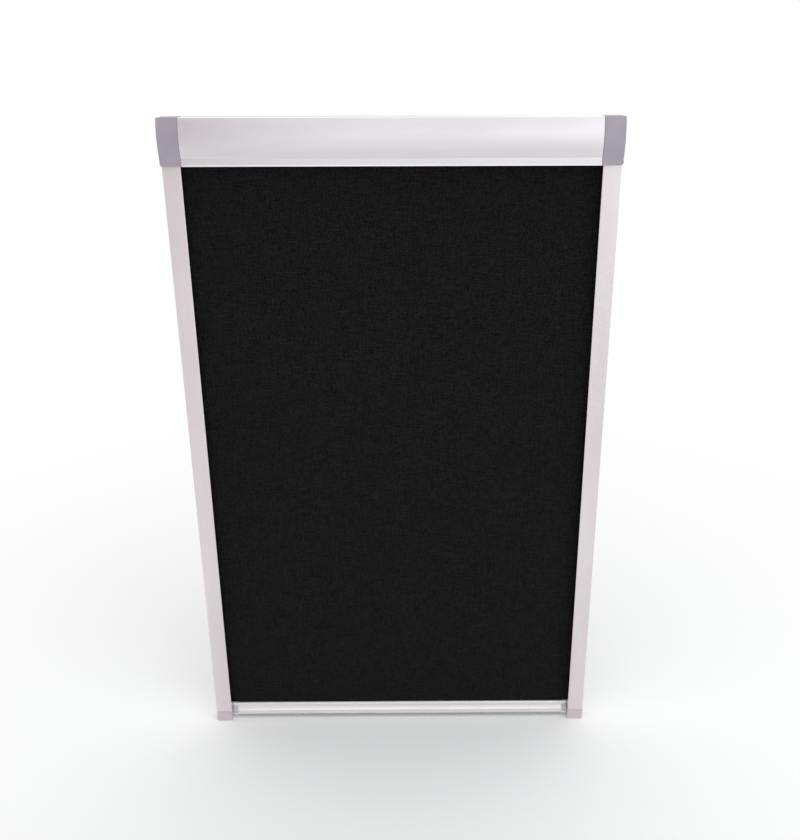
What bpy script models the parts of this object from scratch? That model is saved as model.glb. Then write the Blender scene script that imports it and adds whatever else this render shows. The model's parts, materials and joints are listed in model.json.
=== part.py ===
"""Blackout roller blind for a roof window, with side rails, modelled with the cloth pulled right down.

+Z runs up the slope of the window, +Y points to the glass and -Y into the room. The origin is the
middle of the headbox's flat back. All sizes are in metres. Run it in Blender 4.5 or later.
"""

import math

import bmesh
import bpy
from mathutils import Vector

# Overall size, and the gap left between pieces that touch
WIDTH = 0.612
HEIGHT = 0.965
GAP = 0.0003

# Cloth, and the turns of it that stay on the roller when the blind is down
FABRIC_THICKNESS = 0.0004
FABRIC_SETBACK = 0.0085
FABRIC_EDGE_GAP = 0.009
ROLL_PITCH = 0.0007
ROLL_TURNS = 1.25
ROLL_STEPS_PER_TURN = 32
ROLL_CLEARANCE = 0.0005

# Headbox shells
HEADBOX_HEIGHT = 0.062
SHELL_WALL = 0.0014
TOP_SETBACK = 0.0045
APEX_BELOW_TOP = 0.022
CREASE_SETBACK = 0.003
LIP_HEIGHT = 0.0115
LIP_SETBACK = 0.0038
LIP_STEP_HEIGHT = 0.001
TOP_CORNER_RADIUS = 0.001
LIP_CORNER_RADIUS = 0.0015
SLOT_FRONT_GAP = 0.005
SLOT_BACK_GAP = 0.0035
BACK_FLANGE_REACH = 0.022
SLOT_BRUSH_HEIGHT = 0.004
SLOT_BRUSH_ROOT = 0.0028

# End caps of the headbox
END_CAP_WIDTH = 0.028
END_CAP_WALL = 0.002
END_CAP_PLATE = 0.003
END_CAP_PROUD = 0.0005
END_CAP_EDGE = 0.0012
END_CAP_FOOT_RADIUS = 0.004

# Screws through the end caps into the ports of the shells
SCREW_RADIUS = 0.0012
SCREW_HEAD_RADIUS = 0.0026
SCREW_HEAD_THICKNESS = 0.0015
SCREW_PLAY = 0.0003
SCREW_LENGTH = 0.044
PORT_WALL = 0.0015
PORT_SINK = 0.0005
BOSS_WALL = 0.0019

# Roller tube and the fittings at its two ends
ROLLER_BELOW_TOP = 0.023
TUBE_RADIUS = 0.0095
TUBE_WALL = 0.0012
TUBE_SEGMENTS = 32
TUBE_END_GAP = 0.009
GROOVE_DEPTH = 0.0015
GROOVE_HALF_STEPS = 1
PLUG_LENGTH = 0.024
PLUG_FLANGE = 0.0015
BEARING_BOSS_WALL = 0.0015
BEARING_BOSS_LENGTH = 0.0035
BEARING_RADIUS = 0.005
BEARING_LENGTH = 0.004
BEARING_PROUD = 0.0002
SHAFT_PLAY = 0.00015

# Sprung pin at the left end
PIN_RADIUS = 0.002
PIN_TRAVEL = 0.005
PIN_COLLAR_RADIUS = 0.0032
PIN_COLLAR_THICKNESS = 0.0015
PIN_TAIL_RADIUS = 0.0014
CHAMBER_FLOOR = 0.002
IDLER_NECK_LENGTH = 0.0085
IDLER_SPRING_RADIUS = 0.0025
IDLER_SPRING_WIRE = 0.00035
IDLER_SPRING_TURNS = 5

# Spring drive inside the tube's right end
SPINDLE_RADIUS = 0.0025
SPINDLE_LENGTH = 0.106
TONGUE_LENGTH = 0.0045
TONGUE_WIDTH = 0.0044
TONGUE_THICKNESS = 0.0018
ANCHOR_RADIUS = 0.006
ANCHOR_LENGTH = 0.010
GUIDE_LENGTH = 0.008
GUIDE_OVERLAP = 0.006
DRIVE_SPRING_RADIUS = 0.0045
DRIVE_SPRING_WIRE = 0.0006
DRIVE_SPRING_TURNS = 20
COIL_POINTS_PER_TURN = 8

# Side rails, with a slot in the inner side for the cloth and the bar's necks
RAIL_FACE = 0.025
RAIL_DEPTH = 0.024
RAIL_WALL = 0.0014
RAIL_BACK_SHORTER = 0.001
RAIL_EDGE_RADIUS = 0.0006
RAIL_SLOT_HALF = 0.0035
RIB_WIDTH = 0.001
RIB_HEIGHT = 0.0012
PILE_WIDTH = 0.0044
PILE_HEIGHT = 0.0049
RAIL_HOLE_RADIUS = 0.0018
RAIL_HOLE_INSET = 0.100
RAIL_HOLES = 3
RAIL_CAP_HEIGHT = 0.0175
RAIL_CAP_PROUD = 0.0004
RAIL_CAP_EDGE = 0.001
SPIGOT_THICKNESS = 0.0033
SPIGOT_LENGTH = 0.007
SPIGOT_SIDE_GAP = 0.0016

# Bottom bar, measured from the cloth's plane and from the bar's top
BAR_REST_TOP = 0.026
BAR_TRAVEL = 0.876
BAR_HEIGHT = 0.0184
BAR_BACK = 0.0035
BAR_PLATE_FRONT = 0.0045
BAR_PLATE_HEIGHT = 0.005
SCOOP_RADIUS = 0.006
SCOOP_ANGLE = math.radians(60)
LEDGE_FRONT = 0.009
LEDGE_GROOVE = 0.0006
LEDGE_GROOVE_TOP = 0.001
LEDGE_GROOVE_HEIGHT = 0.0018
BAR_EDGE_RADIUS = 0.0005
BAR_SLIT_HALF = 0.0007
BAR_SLIT_DEPTH = 0.0067
BAR_KEDER_RADIUS = 0.0019
KEDER_PLAY = 0.0005
BAR_WALL = 0.0015
BAR_END_WIDTH = 0.008
BAR_END_GAP = 0.0005
BAR_END_SHOULDER = 0.003
BAR_TONGUE_LENGTH = 0.014
BAR_SEAL_HEIGHT = 0.003
BAR_SEAL_INSET = 0.003

# Necks, gliders and brakes on the bar's ends, which run in the rails
NECK_HALF = 0.0015
NECK_TOP = 0.001
NECK_HEIGHT = 0.0052
PILE_TO_NECK = 0.0004
GLIDER_WIDTH = 0.010
GLIDER_TOP = 0.001
GLIDER_HEIGHT = 0.012
GLIDER_PLAY = 0.0004
BRAKE_WIDTH = 0.006
BRAKE_HEIGHT = 0.0064
BRAKE_THICKNESS = 0.0043
BRAKE_POCKET_DEPTH = 0.012
BRAKE_SPRING_RADIUS = 0.002
BRAKE_SPRING_WIRE = 0.0003
BRAKE_SPRING_TURNS = 5

# Steps in round shapes
ROUND_SEGMENTS = 16
CHAMBER_STEPS = 14
CORNER_STEPS = 3
SMALL_CORNER_STEPS = 2
SCOOP_STEPS = 5
FRONT_CURVE_STEPS = 12
SMOOTH_ANGLE = math.radians(30)

# Places worked out from the sizes above
HALF_WIDTH = WIDTH / 2
TOP_Z = HEADBOX_HEIGHT / 2
HEADBOX_BOTTOM_Z = TOP_Z - HEADBOX_HEIGHT
BASE_Z = TOP_Z - HEIGHT
RAIL_TOP_Z = HEADBOX_BOTTOM_Z - GAP
RAIL_CAP_TOP_Z = BASE_Z + RAIL_CAP_HEIGHT
RAIL_BOTTOM_Z = RAIL_CAP_TOP_Z + GAP
BAR_Z = BASE_Z + BAR_REST_TOP

FABRIC_Y = -FABRIC_SETBACK
FABRIC_HALF_WIDTH = HALF_WIDTH - FABRIC_EDGE_GAP
ROLL_FIRST_RADIUS = TUBE_RADIUS + GAP + FABRIC_THICKNESS / 2
ROLL_LAST_RADIUS = ROLL_FIRST_RADIUS + ROLL_PITCH * ROLL_TURNS
FULL_ROLL_RADIUS = math.sqrt(ROLL_LAST_RADIUS**2 + FABRIC_THICKNESS * BAR_TRAVEL / math.pi)
ROLLER_Y = FABRIC_Y - ROLL_LAST_RADIUS
ROLLER_Z = TOP_Z - ROLLER_BELOW_TOP
ROLLER_AXIS = (ROLLER_Y, ROLLER_Z)
HEADBOX_DEPTH = FULL_ROLL_RADIUS + ROLL_CLEARANCE + SHELL_WALL - ROLLER_Y

CAP_INNER_X = HALF_WIDTH - END_CAP_WIDTH
SHELL_END_X = CAP_INNER_X - GAP
PLATE_INNER_X = HALF_WIDTH - END_CAP_PLATE
SCREW_BORE = SCREW_RADIUS + SCREW_PLAY
SCREW_HEAD_X = (HALF_WIDTH - GAP - SCREW_HEAD_THICKNESS, HALF_WIDTH - GAP)
PORT_RADIUS = SCREW_BORE + PORT_WALL
BOSS_RADIUS = SCREW_BORE + BOSS_WALL
PORT_REACH = SHELL_WALL + PORT_RADIUS - PORT_SINK
BACK_PORT = (-PORT_REACH, TOP_Z - SHELL_WALL - GAP - PORT_REACH)
FRONT_PORT = (-(HEADBOX_DEPTH - LIP_SETBACK - PORT_REACH), HEADBOX_BOTTOM_Z + PORT_REACH)

TUBE_END_X = HALF_WIDTH - TUBE_END_GAP
PLUG_FACE_X = TUBE_END_X + GAP
PLUG_OUTER_X = PLUG_FACE_X + PLUG_FLANGE
PLUG_INNER_X = PLUG_OUTER_X - PLUG_LENGTH
BOSS_FACE_X = PLATE_INNER_X - BEARING_BOSS_LENGTH
BEARING_X = (BOSS_FACE_X - BEARING_PROUD, BOSS_FACE_X - BEARING_PROUD + BEARING_LENGTH)
CHAMBER_X = (PLUG_INNER_X + CHAMBER_FLOOR, PLUG_OUTER_X - IDLER_NECK_LENGTH)
CHAMBER_RADIUS = PIN_COLLAR_RADIUS + GAP
COLLAR_X = (CHAMBER_X[1] - GAP - PIN_COLLAR_THICKNESS, CHAMBER_X[1] - GAP)
PIN_TAIL_X = CHAMBER_X[0] + PIN_TRAVEL + GAP
SHAFT_END_X = BEARING_X[1] - GAP
SPINDLE_X = (SHAFT_END_X - TONGUE_LENGTH - SPINDLE_LENGTH, SHAFT_END_X - TONGUE_LENGTH)
GUIDE_X = (SPINDLE_X[0] + GUIDE_OVERLAP - GUIDE_LENGTH, SPINDLE_X[0] + GUIDE_OVERLAP)
ANCHOR_X = (GUIDE_X[1] + GAP, GUIDE_X[1] + GAP + ANCHOR_LENGTH)

WEB_INNER_X = HALF_WIDTH - RAIL_WALL
RAIL_INNER_X = HALF_WIDTH - RAIL_FACE
PILE_X = (RAIL_INNER_X + RAIL_WALL + GAP, RAIL_INNER_X + RAIL_WALL + GAP + PILE_WIDTH)
RIB_X = (PILE_X[1] + GAP, PILE_X[1] + GAP + RIB_WIDTH)
PILE_TIP = NECK_HALF + PILE_TO_NECK
FRONT_PILE_Y = (FABRIC_Y - PILE_TIP - PILE_HEIGHT, FABRIC_Y - PILE_TIP)
BACK_PILE_Y = (FABRIC_Y + PILE_TIP, -RAIL_WALL - GAP)
GLIDER_X = (RIB_X[1] + GAP, RIB_X[1] + GAP + GLIDER_WIDTH)
SPIGOT_X = (WEB_INNER_X - GAP - SPIGOT_THICKNESS, WEB_INNER_X - GAP)
BAR_END_X = (RAIL_INNER_X - BAR_END_GAP - BAR_END_WIDTH, RAIL_INNER_X - BAR_END_GAP)
BAR_HALF_LENGTH = BAR_END_X[0] - GAP
KEDER_Z = -(BAR_SLIT_DEPTH + math.sqrt(BAR_KEDER_RADIUS**2 - BAR_SLIT_HALF**2))
SCOOP_FOOT_Y = -(BAR_PLATE_FRONT + SCOOP_RADIUS * (1 - math.cos(SCOOP_ANGLE)))
SCOOP_FOOT_Z = -(BAR_PLATE_HEIGHT + SCOOP_RADIUS * math.sin(SCOOP_ANGLE))
LEDGE_Z = SCOOP_FOOT_Z - (LEDGE_FRONT + SCOOP_FOOT_Y) / math.tan(SCOOP_ANGLE)


def clear_scene():
    """Removes whatever the file holds."""
    for old in list(bpy.data.objects):
        bpy.data.objects.remove(old)


def finish_of(name, colour, roughness, metallic=0.0):
    """A plain material for one kind of surface."""
    made = bpy.data.materials.new(name)
    made.use_nodes = True
    shader = made.node_tree.nodes["Principled BSDF"]
    shader.inputs["Base Color"].default_value = (*colour, 1.0)
    shader.inputs["Roughness"].default_value = roughness
    shader.inputs["Metallic"].default_value = metallic
    return made


def place_empty(name, location, parent=None):
    """An empty that marks the fixed frame or a joint's axis."""
    empty = bpy.data.objects.new(name, None)
    empty.location = location
    empty.parent = parent
    bpy.context.scene.collection.objects.link(empty)
    return empty


def loft(name, rings, finish, parent):
    """A closed body through rings of as many points each, with a flat face at either end."""
    bm = bmesh.new()
    loops = [[bm.verts.new(point) for point in ring] for ring in rings]
    for lower, upper in zip(loops, loops[1:]):
        for i, start in enumerate(lower):
            j = (i + 1) % len(lower)
            bm.faces.new((start, lower[j], upper[j], upper[i]))
    bm.faces.new(loops[0])
    bm.faces.new(loops[-1])
    return place_mesh(name, bm, finish, parent)


def place_mesh(name, bm, finish, parent):
    """A named object from a bmesh, with its faces turned outwards."""
    bmesh.ops.recalc_face_normals(bm, faces=bm.faces)
    mesh = bpy.data.meshes.new(name)
    bm.to_mesh(mesh)
    bm.free()
    mesh.materials.append(finish)
    placed = bpy.data.objects.new(name, mesh)
    placed.parent = parent
    bpy.context.scene.collection.objects.link(placed)
    return placed


def along_x(outline, x):
    """An outline of (y, z) points set at x."""
    return [(x, y, z) for y, z in outline]


def along_y(outline, y):
    """An outline of (x, z) points set at y."""
    return [(x, y, z) for x, z in outline]


def along_z(outline, z):
    """An outline of (x, y) points set at z."""
    return [(x, y, z) for x, y in outline]


def box(name, x_range, y_range, z_range, finish, parent):
    """A rectangular block."""
    (y0, y1), (z0, z1) = y_range, z_range
    outline = [(y0, z0), (y1, z0), (y1, z1), (y0, z1)]
    return loft(name, [along_x(outline, x) for x in x_range], finish, parent)


def circle(radius, centre=(0.0, 0.0), segments=ROUND_SEGMENTS):
    """Points round a circle."""
    turns = [2 * math.pi * k / segments for k in range(segments)]
    return [(centre[0] + radius * math.cos(t), centre[1] + radius * math.sin(t)) for t in turns]


def turned(name, steps, finish, parent, centre=(0.0, 0.0)):
    """A round piece along X. Each step is (x, radius), and two steps at one x make a shoulder."""
    rings = [along_x(circle(radius, centre), x) for x, radius in steps]
    return loft(name, rings, finish, parent)


def rod(name, x_range, radius, finish, parent, centre=(0.0, 0.0)):
    """A plain round rod along X."""
    return turned(name, [(x, radius) for x in x_range], finish, parent, centre)


def mirrored(side, x_range):
    """A range of distances from the middle, on one side of it."""
    return tuple(side * x for x in x_range)


def arc_through(first, middle, last, steps):
    """Points along the arc through three points, with both ends."""
    (ax, ay), (bx, by), (cx, cy) = first, middle, last
    d = 2 * (ax * (by - cy) + bx * (cy - ay) + cx * (ay - by))
    a2, b2, c2 = ax**2 + ay**2, bx**2 + by**2, cx**2 + cy**2
    ux = (a2 * (by - cy) + b2 * (cy - ay) + c2 * (ay - by)) / d
    uy = (a2 * (cx - bx) + b2 * (ax - cx) + c2 * (bx - ax)) / d
    radius = math.hypot(ax - ux, ay - uy)
    start = math.atan2(ay - uy, ax - ux)
    sweep = (math.atan2(cy - uy, cx - ux) - start + math.pi) % (2 * math.pi) - math.pi
    angles = [start + sweep * k / steps for k in range(steps + 1)]
    return [(ux + radius * math.cos(t), uy + radius * math.sin(t)) for t in angles]


def rounded(corners, steps=CORNER_STEPS):
    """An outline through corners (a, b, radius), each with a radius replaced by an arc."""
    outline = []
    for i, (a, b, radius) in enumerate(corners):
        if not radius:
            outline.append((a, b))
            continue
        here = Vector((a, b))
        back = (Vector(corners[i - 1][:2]) - here).normalized()
        ahead = (Vector(corners[(i + 1) % len(corners)][:2]) - here).normalized()
        half = back.angle(ahead) / 2
        reach = radius / math.tan(half)
        centre = here + (back + ahead).normalized() * (radius / math.sin(half))
        middle = centre + (here - centre).normalized() * radius
        outline += arc_through(here + back * reach, middle, here + ahead * reach, steps)
    return outline


def offset_line(points, distance, closed):
    """The line moved to its left by a distance, with mitred corners."""
    moved = []
    for i, point in enumerate(points):
        here = Vector(point)
        sides = []
        if closed or i:
            sides.append((here - Vector(points[i - 1])).normalized())
        if closed or i < len(points) - 1:
            sides.append((Vector(points[(i + 1) % len(points)]) - here).normalized())
        normals = [Vector((-side.y, side.x)) for side in sides]
        mean = sum(normals, Vector((0.0, 0.0))).normalized()
        moved.append(tuple(here + mean * (distance / mean.dot(normals[0]))))
    return moved


def modify(target, operation, helpers):
    """Cuts the helpers out of the target, or joins them on, and hides them."""
    for helper in helpers:
        helper.hide_render = True
        helper.display_type = "WIRE"
        change = target.modifiers.new(helper.name, "BOOLEAN")
        change.operation = operation
        change.solver = "EXACT"
        change.object = helper


def cut(target, *helpers):
    modify(target, "DIFFERENCE", helpers)


def join(target, *helpers):
    modify(target, "UNION", helpers)


def smooth(target):
    """Rounds the shading of a turned or curved piece, and keeps its sharp edges."""
    target.data.shade_smooth()
    target.data.set_sharp_from_angle(angle=SMOOTH_ANGLE)
    return target


def coil(name, radius, wire, turns, ends, axis, finish, parent, centre=(0.0, 0.0, 0.0)):
    """A spring of round wire between two places along an axis, 0 for X or 1 for Y."""
    data = bpy.data.curves.new(name, "CURVE")
    data.dimensions = "3D"
    data.bevel_depth = wire
    data.bevel_resolution = 1
    data.use_fill_caps = True
    spline = data.splines.new("POLY")
    steps = turns * COIL_POINTS_PER_TURN
    first, last = min(ends) + wire, max(ends) - wire
    spline.points.add(steps)
    for k, point in enumerate(spline.points):
        turn = 2 * math.pi * k / COIL_POINTS_PER_TURN
        place = list(centre)
        place[axis] += first + (last - first) * k / steps
        place[(axis + 1) % 3] += radius * math.cos(turn)
        place[(axis + 2) % 3] += radius * math.sin(turn)
        point.co = (*place, 1.0)
    data.materials.append(finish)
    made = bpy.data.objects.new(name, data)
    made.parent = parent
    bpy.context.scene.collection.objects.link(made)
    print(f"{name}: {1000 * ((last - first) / turns - 2 * wire):.2f} mm between its turns")
    return made


def headbox_path(start_y, end_y, top_radius=0.0, lip_radius=0.0):
    """The headbox's outer side in (y, z), from its top round the bulge and the lip to its underside."""
    top_y = -(HEADBOX_DEPTH - TOP_SETBACK)
    lip_y = -(HEADBOX_DEPTH - LIP_SETBACK)
    apex = (-HEADBOX_DEPTH, TOP_Z - APEX_BELOW_TOP)
    crease = (-(HEADBOX_DEPTH - CREASE_SETBACK), HEADBOX_BOTTOM_Z + LIP_HEIGHT)
    bulge = arc_through((top_y, TOP_Z), apex, crease, FRONT_CURVE_STEPS)
    top = rounded([(start_y, TOP_Z, 0.0), (*bulge[0], top_radius), (*bulge[1], 0.0)])
    lip_top = (lip_y, crease[1] - LIP_STEP_HEIGHT, 0.0)
    foot = rounded([lip_top, (lip_y, HEADBOX_BOTTOM_Z, lip_radius), (end_y, HEADBOX_BOTTOM_Z, 0.0)])
    return top + bulge[2:] + foot


def make_headbox_cover(finish, parent):
    """The front extrusion: top flange, bulged face, lip and the foot in front of the cloth's slot."""
    span = (-(SHELL_WALL + GAP), FABRIC_Y - SLOT_FRONT_GAP)
    outside = headbox_path(*span, TOP_CORNER_RADIUS, LIP_CORNER_RADIUS)
    inside = offset_line(headbox_path(*span), SHELL_WALL, closed=False)
    rings = [along_x(outside + inside[::-1], x) for x in (-SHELL_END_X, SHELL_END_X)]
    cover = loft("headbox_cover", rings, finish, parent)
    add_screw_port(cover, FRONT_PORT, finish, parent)
    return smooth(cover)


def make_headbox_back(finish, parent):
    """The rear extrusion: flat back, top flange under the cover's, and the foot behind the cloth's slot."""
    foot_y = FABRIC_Y + SLOT_BACK_GAP
    flange_z = TOP_Z - SHELL_WALL - GAP
    outline = [
        (0.0, TOP_Z),
        (0.0, HEADBOX_BOTTOM_Z),
        (foot_y, HEADBOX_BOTTOM_Z),
        (foot_y, HEADBOX_BOTTOM_Z + SHELL_WALL),
        (-SHELL_WALL, HEADBOX_BOTTOM_Z + SHELL_WALL),
        (-SHELL_WALL, flange_z - SHELL_WALL),
        (-BACK_FLANGE_REACH, flange_z - SHELL_WALL),
        (-BACK_FLANGE_REACH, flange_z),
        (-SHELL_WALL, flange_z),
        (-SHELL_WALL, TOP_Z),
    ]
    rings = [along_x(outline, x) for x in (-SHELL_END_X, SHELL_END_X)]
    back = loft("headbox_back", rings, finish, parent)
    add_screw_port(back, BACK_PORT, finish, parent)
    return back


def add_screw_port(shell, place, finish, parent):
    """A round rib with a bore for the end caps' screws, along the whole of a shell."""
    name = shell.name + " port"
    beyond = SHELL_END_X + GAP
    join(shell, rod(name + " rib", (-SHELL_END_X, SHELL_END_X), PORT_RADIUS, finish, parent, place))
    cut(shell, rod(name + " bore", (-beyond, beyond), SCREW_BORE, finish, parent, place))


def end_cap_ring(outline, side, inset):
    """The end cap's outline near its outer end, with the foot of it rounded up to the end face."""
    radius = END_CAP_FOOT_RADIUS
    rise = radius - math.sqrt(max(radius**2 - (radius - inset) ** 2, 0.0)) if inset < radius else 0.0
    lifted = [(y, max(z, HEADBOX_BOTTOM_Z + rise)) for y, z in outline]
    return along_x(lifted, side * (HALF_WIDTH - inset))


def make_end_cap(side_name, side, finish, parent):
    """A hollow moulded cap with a bearing boss, two screw bosses and a spigot that goes into the rail."""
    name = side_name + "_end_cap"
    shells = headbox_path(0.0, 0.0, TOP_CORNER_RADIUS, LIP_CORNER_RADIUS)
    grown = offset_line(shells, -END_CAP_PROUD, closed=True)
    outline = [(min(y, 0.0), max(min(z, TOP_Z), HEADBOX_BOTTOM_Z)) for y, z in grown]
    drawn_in = [(y + END_CAP_EDGE * y / -HEADBOX_DEPTH, min(z, TOP_Z - END_CAP_EDGE)) for y, z in outline]
    insets = (END_CAP_FOOT_RADIUS, END_CAP_FOOT_RADIUS / 2, END_CAP_EDGE)
    rings = [along_x(outline, side * CAP_INNER_X)]
    rings += [end_cap_ring(outline, side, inset) for inset in insets]
    cap = loft(name, rings + [end_cap_ring(drawn_in, side, 0.0)], finish, parent)

    hollow = offset_line(headbox_path(0.0, 0.0), END_CAP_WALL, closed=True)
    hollow = [(y, min(z, TOP_Z - END_CAP_WALL)) for y, z in hollow]
    inside_x = (CAP_INNER_X - GAP, PLATE_INNER_X)
    cut(cap, loft(name + " hollow", [along_x(hollow, side * x) for x in inside_x], finish, parent))
    slot_x = mirrored(side, (CAP_INNER_X - GAP, SPIGOT_X[0] - GAP))
    slot_y = (FABRIC_Y - SLOT_FRONT_GAP, FABRIC_Y + SLOT_BACK_GAP)
    slot_z = (HEADBOX_BOTTOM_Z - GAP, HEADBOX_BOTTOM_Z + END_CAP_WALL + GAP)
    cut(cap, box(name + " cloth slot", slot_x, slot_y, slot_z, finish, parent))

    sunk_x = PLATE_INNER_X + END_CAP_PLATE / 2
    boss_x = mirrored(side, (BOSS_FACE_X, sunk_x))
    boss_radius = BEARING_RADIUS + GAP + BEARING_BOSS_WALL
    seat_x = mirrored(side, (BOSS_FACE_X - GAP, BEARING_X[1] + GAP))
    join(cap, rod(name + " bearing boss", boss_x, boss_radius, finish, parent, ROLLER_AXIS))
    cut(cap, rod(name + " bearing seat", seat_x, BEARING_RADIUS + GAP, finish, parent, ROLLER_AXIS))
    head_bore = SCREW_HEAD_RADIUS + SCREW_PLAY
    tube_x = mirrored(side, (CAP_INNER_X, sunk_x))
    bore_x = mirrored(side, (CAP_INNER_X - GAP, HALF_WIDTH + GAP))
    head_x = mirrored(side, (SCREW_HEAD_X[0] - GAP, HALF_WIDTH + GAP))
    for level, place in (("upper", BACK_PORT), ("lower", FRONT_PORT)):
        join(cap, rod(f"{name} {level} boss", tube_x, BOSS_RADIUS, finish, parent, place))
        cut(cap, rod(f"{name} {level} bore", bore_x, SCREW_BORE, finish, parent, place))
        cut(cap, rod(f"{name} {level} counterbore", head_x, head_bore, finish, parent, place))

    spigot_z = (HEADBOX_BOTTOM_Z - SPIGOT_LENGTH, HEADBOX_BOTTOM_Z + END_CAP_WALL / 2)
    join(cap, box(name + " spigot", mirrored(side, SPIGOT_X), spigot_y_range(), spigot_z, finish, parent))
    return smooth(cap)


def spigot_y_range():
    """How far a plug that goes into a rail's end reaches across it."""
    return -(RAIL_DEPTH - RAIL_WALL - SPIGOT_SIDE_GAP), -(RAIL_WALL + SPIGOT_SIDE_GAP)


def make_cap_screw(name, side, place, finish, parent):
    """A long screw through an end cap into a shell's port."""
    tip_x = SCREW_HEAD_X[1] - SCREW_LENGTH
    steps = [
        (tip_x, SCREW_RADIUS / 2),
        (tip_x + SCREW_RADIUS, SCREW_RADIUS),
        (SCREW_HEAD_X[0], SCREW_RADIUS),
        (SCREW_HEAD_X[0], SCREW_HEAD_RADIUS),
        (SCREW_HEAD_X[1], SCREW_HEAD_RADIUS),
    ]
    return smooth(turned(name, [(side * x, radius) for x, radius in steps], finish, parent, place))


def make_slot_brush(finish, parent):
    """The pile strip on the cover's foot, which closes the slot in front of the cloth."""
    tip_y = FABRIC_Y - FABRIC_THICKNESS / 2 - GAP
    root_y = FABRIC_Y - SLOT_FRONT_GAP - SLOT_BRUSH_ROOT
    foot_z = HEADBOX_BOTTOM_Z + SHELL_WALL + GAP
    z_range = (foot_z, foot_z + SLOT_BRUSH_HEIGHT)
    half = SHELL_END_X - GAP
    return box("slot_brush", (-half, half), (root_y, tip_y), z_range, finish, parent)


def keyed_outline(inside, play=0.0):
    """The tube's outer or inner line in (y, z), drawn in at the groove that grips the cloth's strip."""
    outline = []
    wide = GROOVE_HALF_STEPS + (1 if inside else 0)
    for k in range(TUBE_SEGMENTS):
        turn = 2 * math.pi * (k + 0.5) / TUBE_SEGMENTS - math.pi / 2
        steps_away = min(k + 1, TUBE_SEGMENTS - k)
        radius = TUBE_RADIUS - (TUBE_WALL if inside else 0.0) - play
        radius -= GROOVE_DEPTH if steps_away <= wide else 0.0
        outline.append((radius * math.cos(turn), radius * math.sin(turn)))
    return outline


def make_roller_tube(finish, parent):
    """The aluminium tube, with one groove along it."""
    ends = (-TUBE_END_X, TUBE_END_X)
    bm = bmesh.new()
    rings = []
    for inside, order in ((False, ends), (True, ends[::-1])):
        outline = keyed_outline(inside)
        rings += [[bm.verts.new(point) for point in along_x(outline, x)] for x in order]
    for lower, upper in zip(rings, rings[1:] + rings[:1]):
        for i in range(TUBE_SEGMENTS):
            j = (i + 1) % TUBE_SEGMENTS
            bm.faces.new((lower[i], lower[j], upper[j], upper[i]))
    return smooth(place_mesh("roller_tube", bm, finish, parent))


def make_roller_strip(finish, parent):
    """The flat strip that holds the cloth's end in the tube's groove."""
    floor_z = -(TUBE_RADIUS - GROOVE_DEPTH) * math.cos(math.pi / TUBE_SEGMENTS) - GAP
    half = -floor_z * math.sin(math.pi / TUBE_SEGMENTS)
    z_range = (-TUBE_RADIUS + GAP, floor_z)
    return box("roller_strip", (-TUBE_END_X, TUBE_END_X), (-half, half), z_range, finish, parent)


def make_fabric_roll(finish, parent):
    """The cloth that stays wound on the tube: one spiral sheet, up to where the free cloth leaves it."""
    steps = round(ROLL_TURNS * ROLL_STEPS_PER_TURN)
    inner, outer = [], []
    for k in range(steps + 1):
        turn = 2 * math.pi * ROLL_TURNS * k / steps
        radius = ROLL_LAST_RADIUS - ROLL_PITCH * turn / (2 * math.pi)
        for line, side in ((inner, -0.5), (outer, 0.5)):
            reach = radius + side * FABRIC_THICKNESS
            line.append((reach * math.cos(turn), reach * math.sin(turn)))
    outline = outer + inner[::-1]
    ends = (-FABRIC_HALF_WIDTH, FABRIC_HALF_WIDTH)
    return smooth(loft("fabric_roll", [along_x(outline, x) for x in ends], finish, parent))


def make_tube_plug(name, side, finish, parent):
    """A moulded plug keyed into one end of the tube, with a flange against the tube's edge."""
    keyed = keyed_outline(inside=True, play=GAP)
    flange = [tuple(Vector(point).normalized() * TUBE_RADIUS) for point in keyed]
    steps = [(keyed, PLUG_INNER_X), (keyed, PLUG_FACE_X), (flange, PLUG_FACE_X), (flange, PLUG_OUTER_X)]
    return loft(name, [along_x(outline, side * x) for outline, x in steps], finish, parent)


def make_idler_plug(finish, parent):
    """The left plug, bored for the sprung pin and hollow behind it for the pin's collar and spring."""
    plug = make_tube_plug("idler_plug", -1, finish, parent)
    steps = [
        (-CHAMBER_X[0], CHAMBER_RADIUS),
        (-CHAMBER_X[1], CHAMBER_RADIUS),
        (-CHAMBER_X[1], PIN_RADIUS + SHAFT_PLAY),
        (-(PLUG_OUTER_X + GAP), PIN_RADIUS + SHAFT_PLAY),
    ]
    cut(plug, turned("idler_plug bore", steps, finish, parent))
    return plug


def make_drive_plug(finish, parent):
    """The right plug, which turns round the fixed spindle and takes the spring's moving end."""
    plug = make_tube_plug("drive_plug", 1, finish, parent)
    bore_x = (PLUG_INNER_X - GAP, PLUG_OUTER_X + GAP)
    cut(plug, rod("drive_plug bore", bore_x, SPINDLE_RADIUS + SHAFT_PLAY, finish, parent))
    return plug


def make_spindle_guide(finish, parent):
    """The keyed ring in the tube that turns on the spindle's inner end."""
    keyed = keyed_outline(inside=True, play=GAP)
    guide = loft("spindle_guide", [along_x(keyed, x) for x in GUIDE_X], finish, parent)
    bore_x = (GUIDE_X[0] - GAP, GUIDE_X[1] + GAP)
    cut(guide, rod("spindle_guide bore", bore_x, SPINDLE_RADIUS + SHAFT_PLAY, finish, parent))
    return guide


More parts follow.
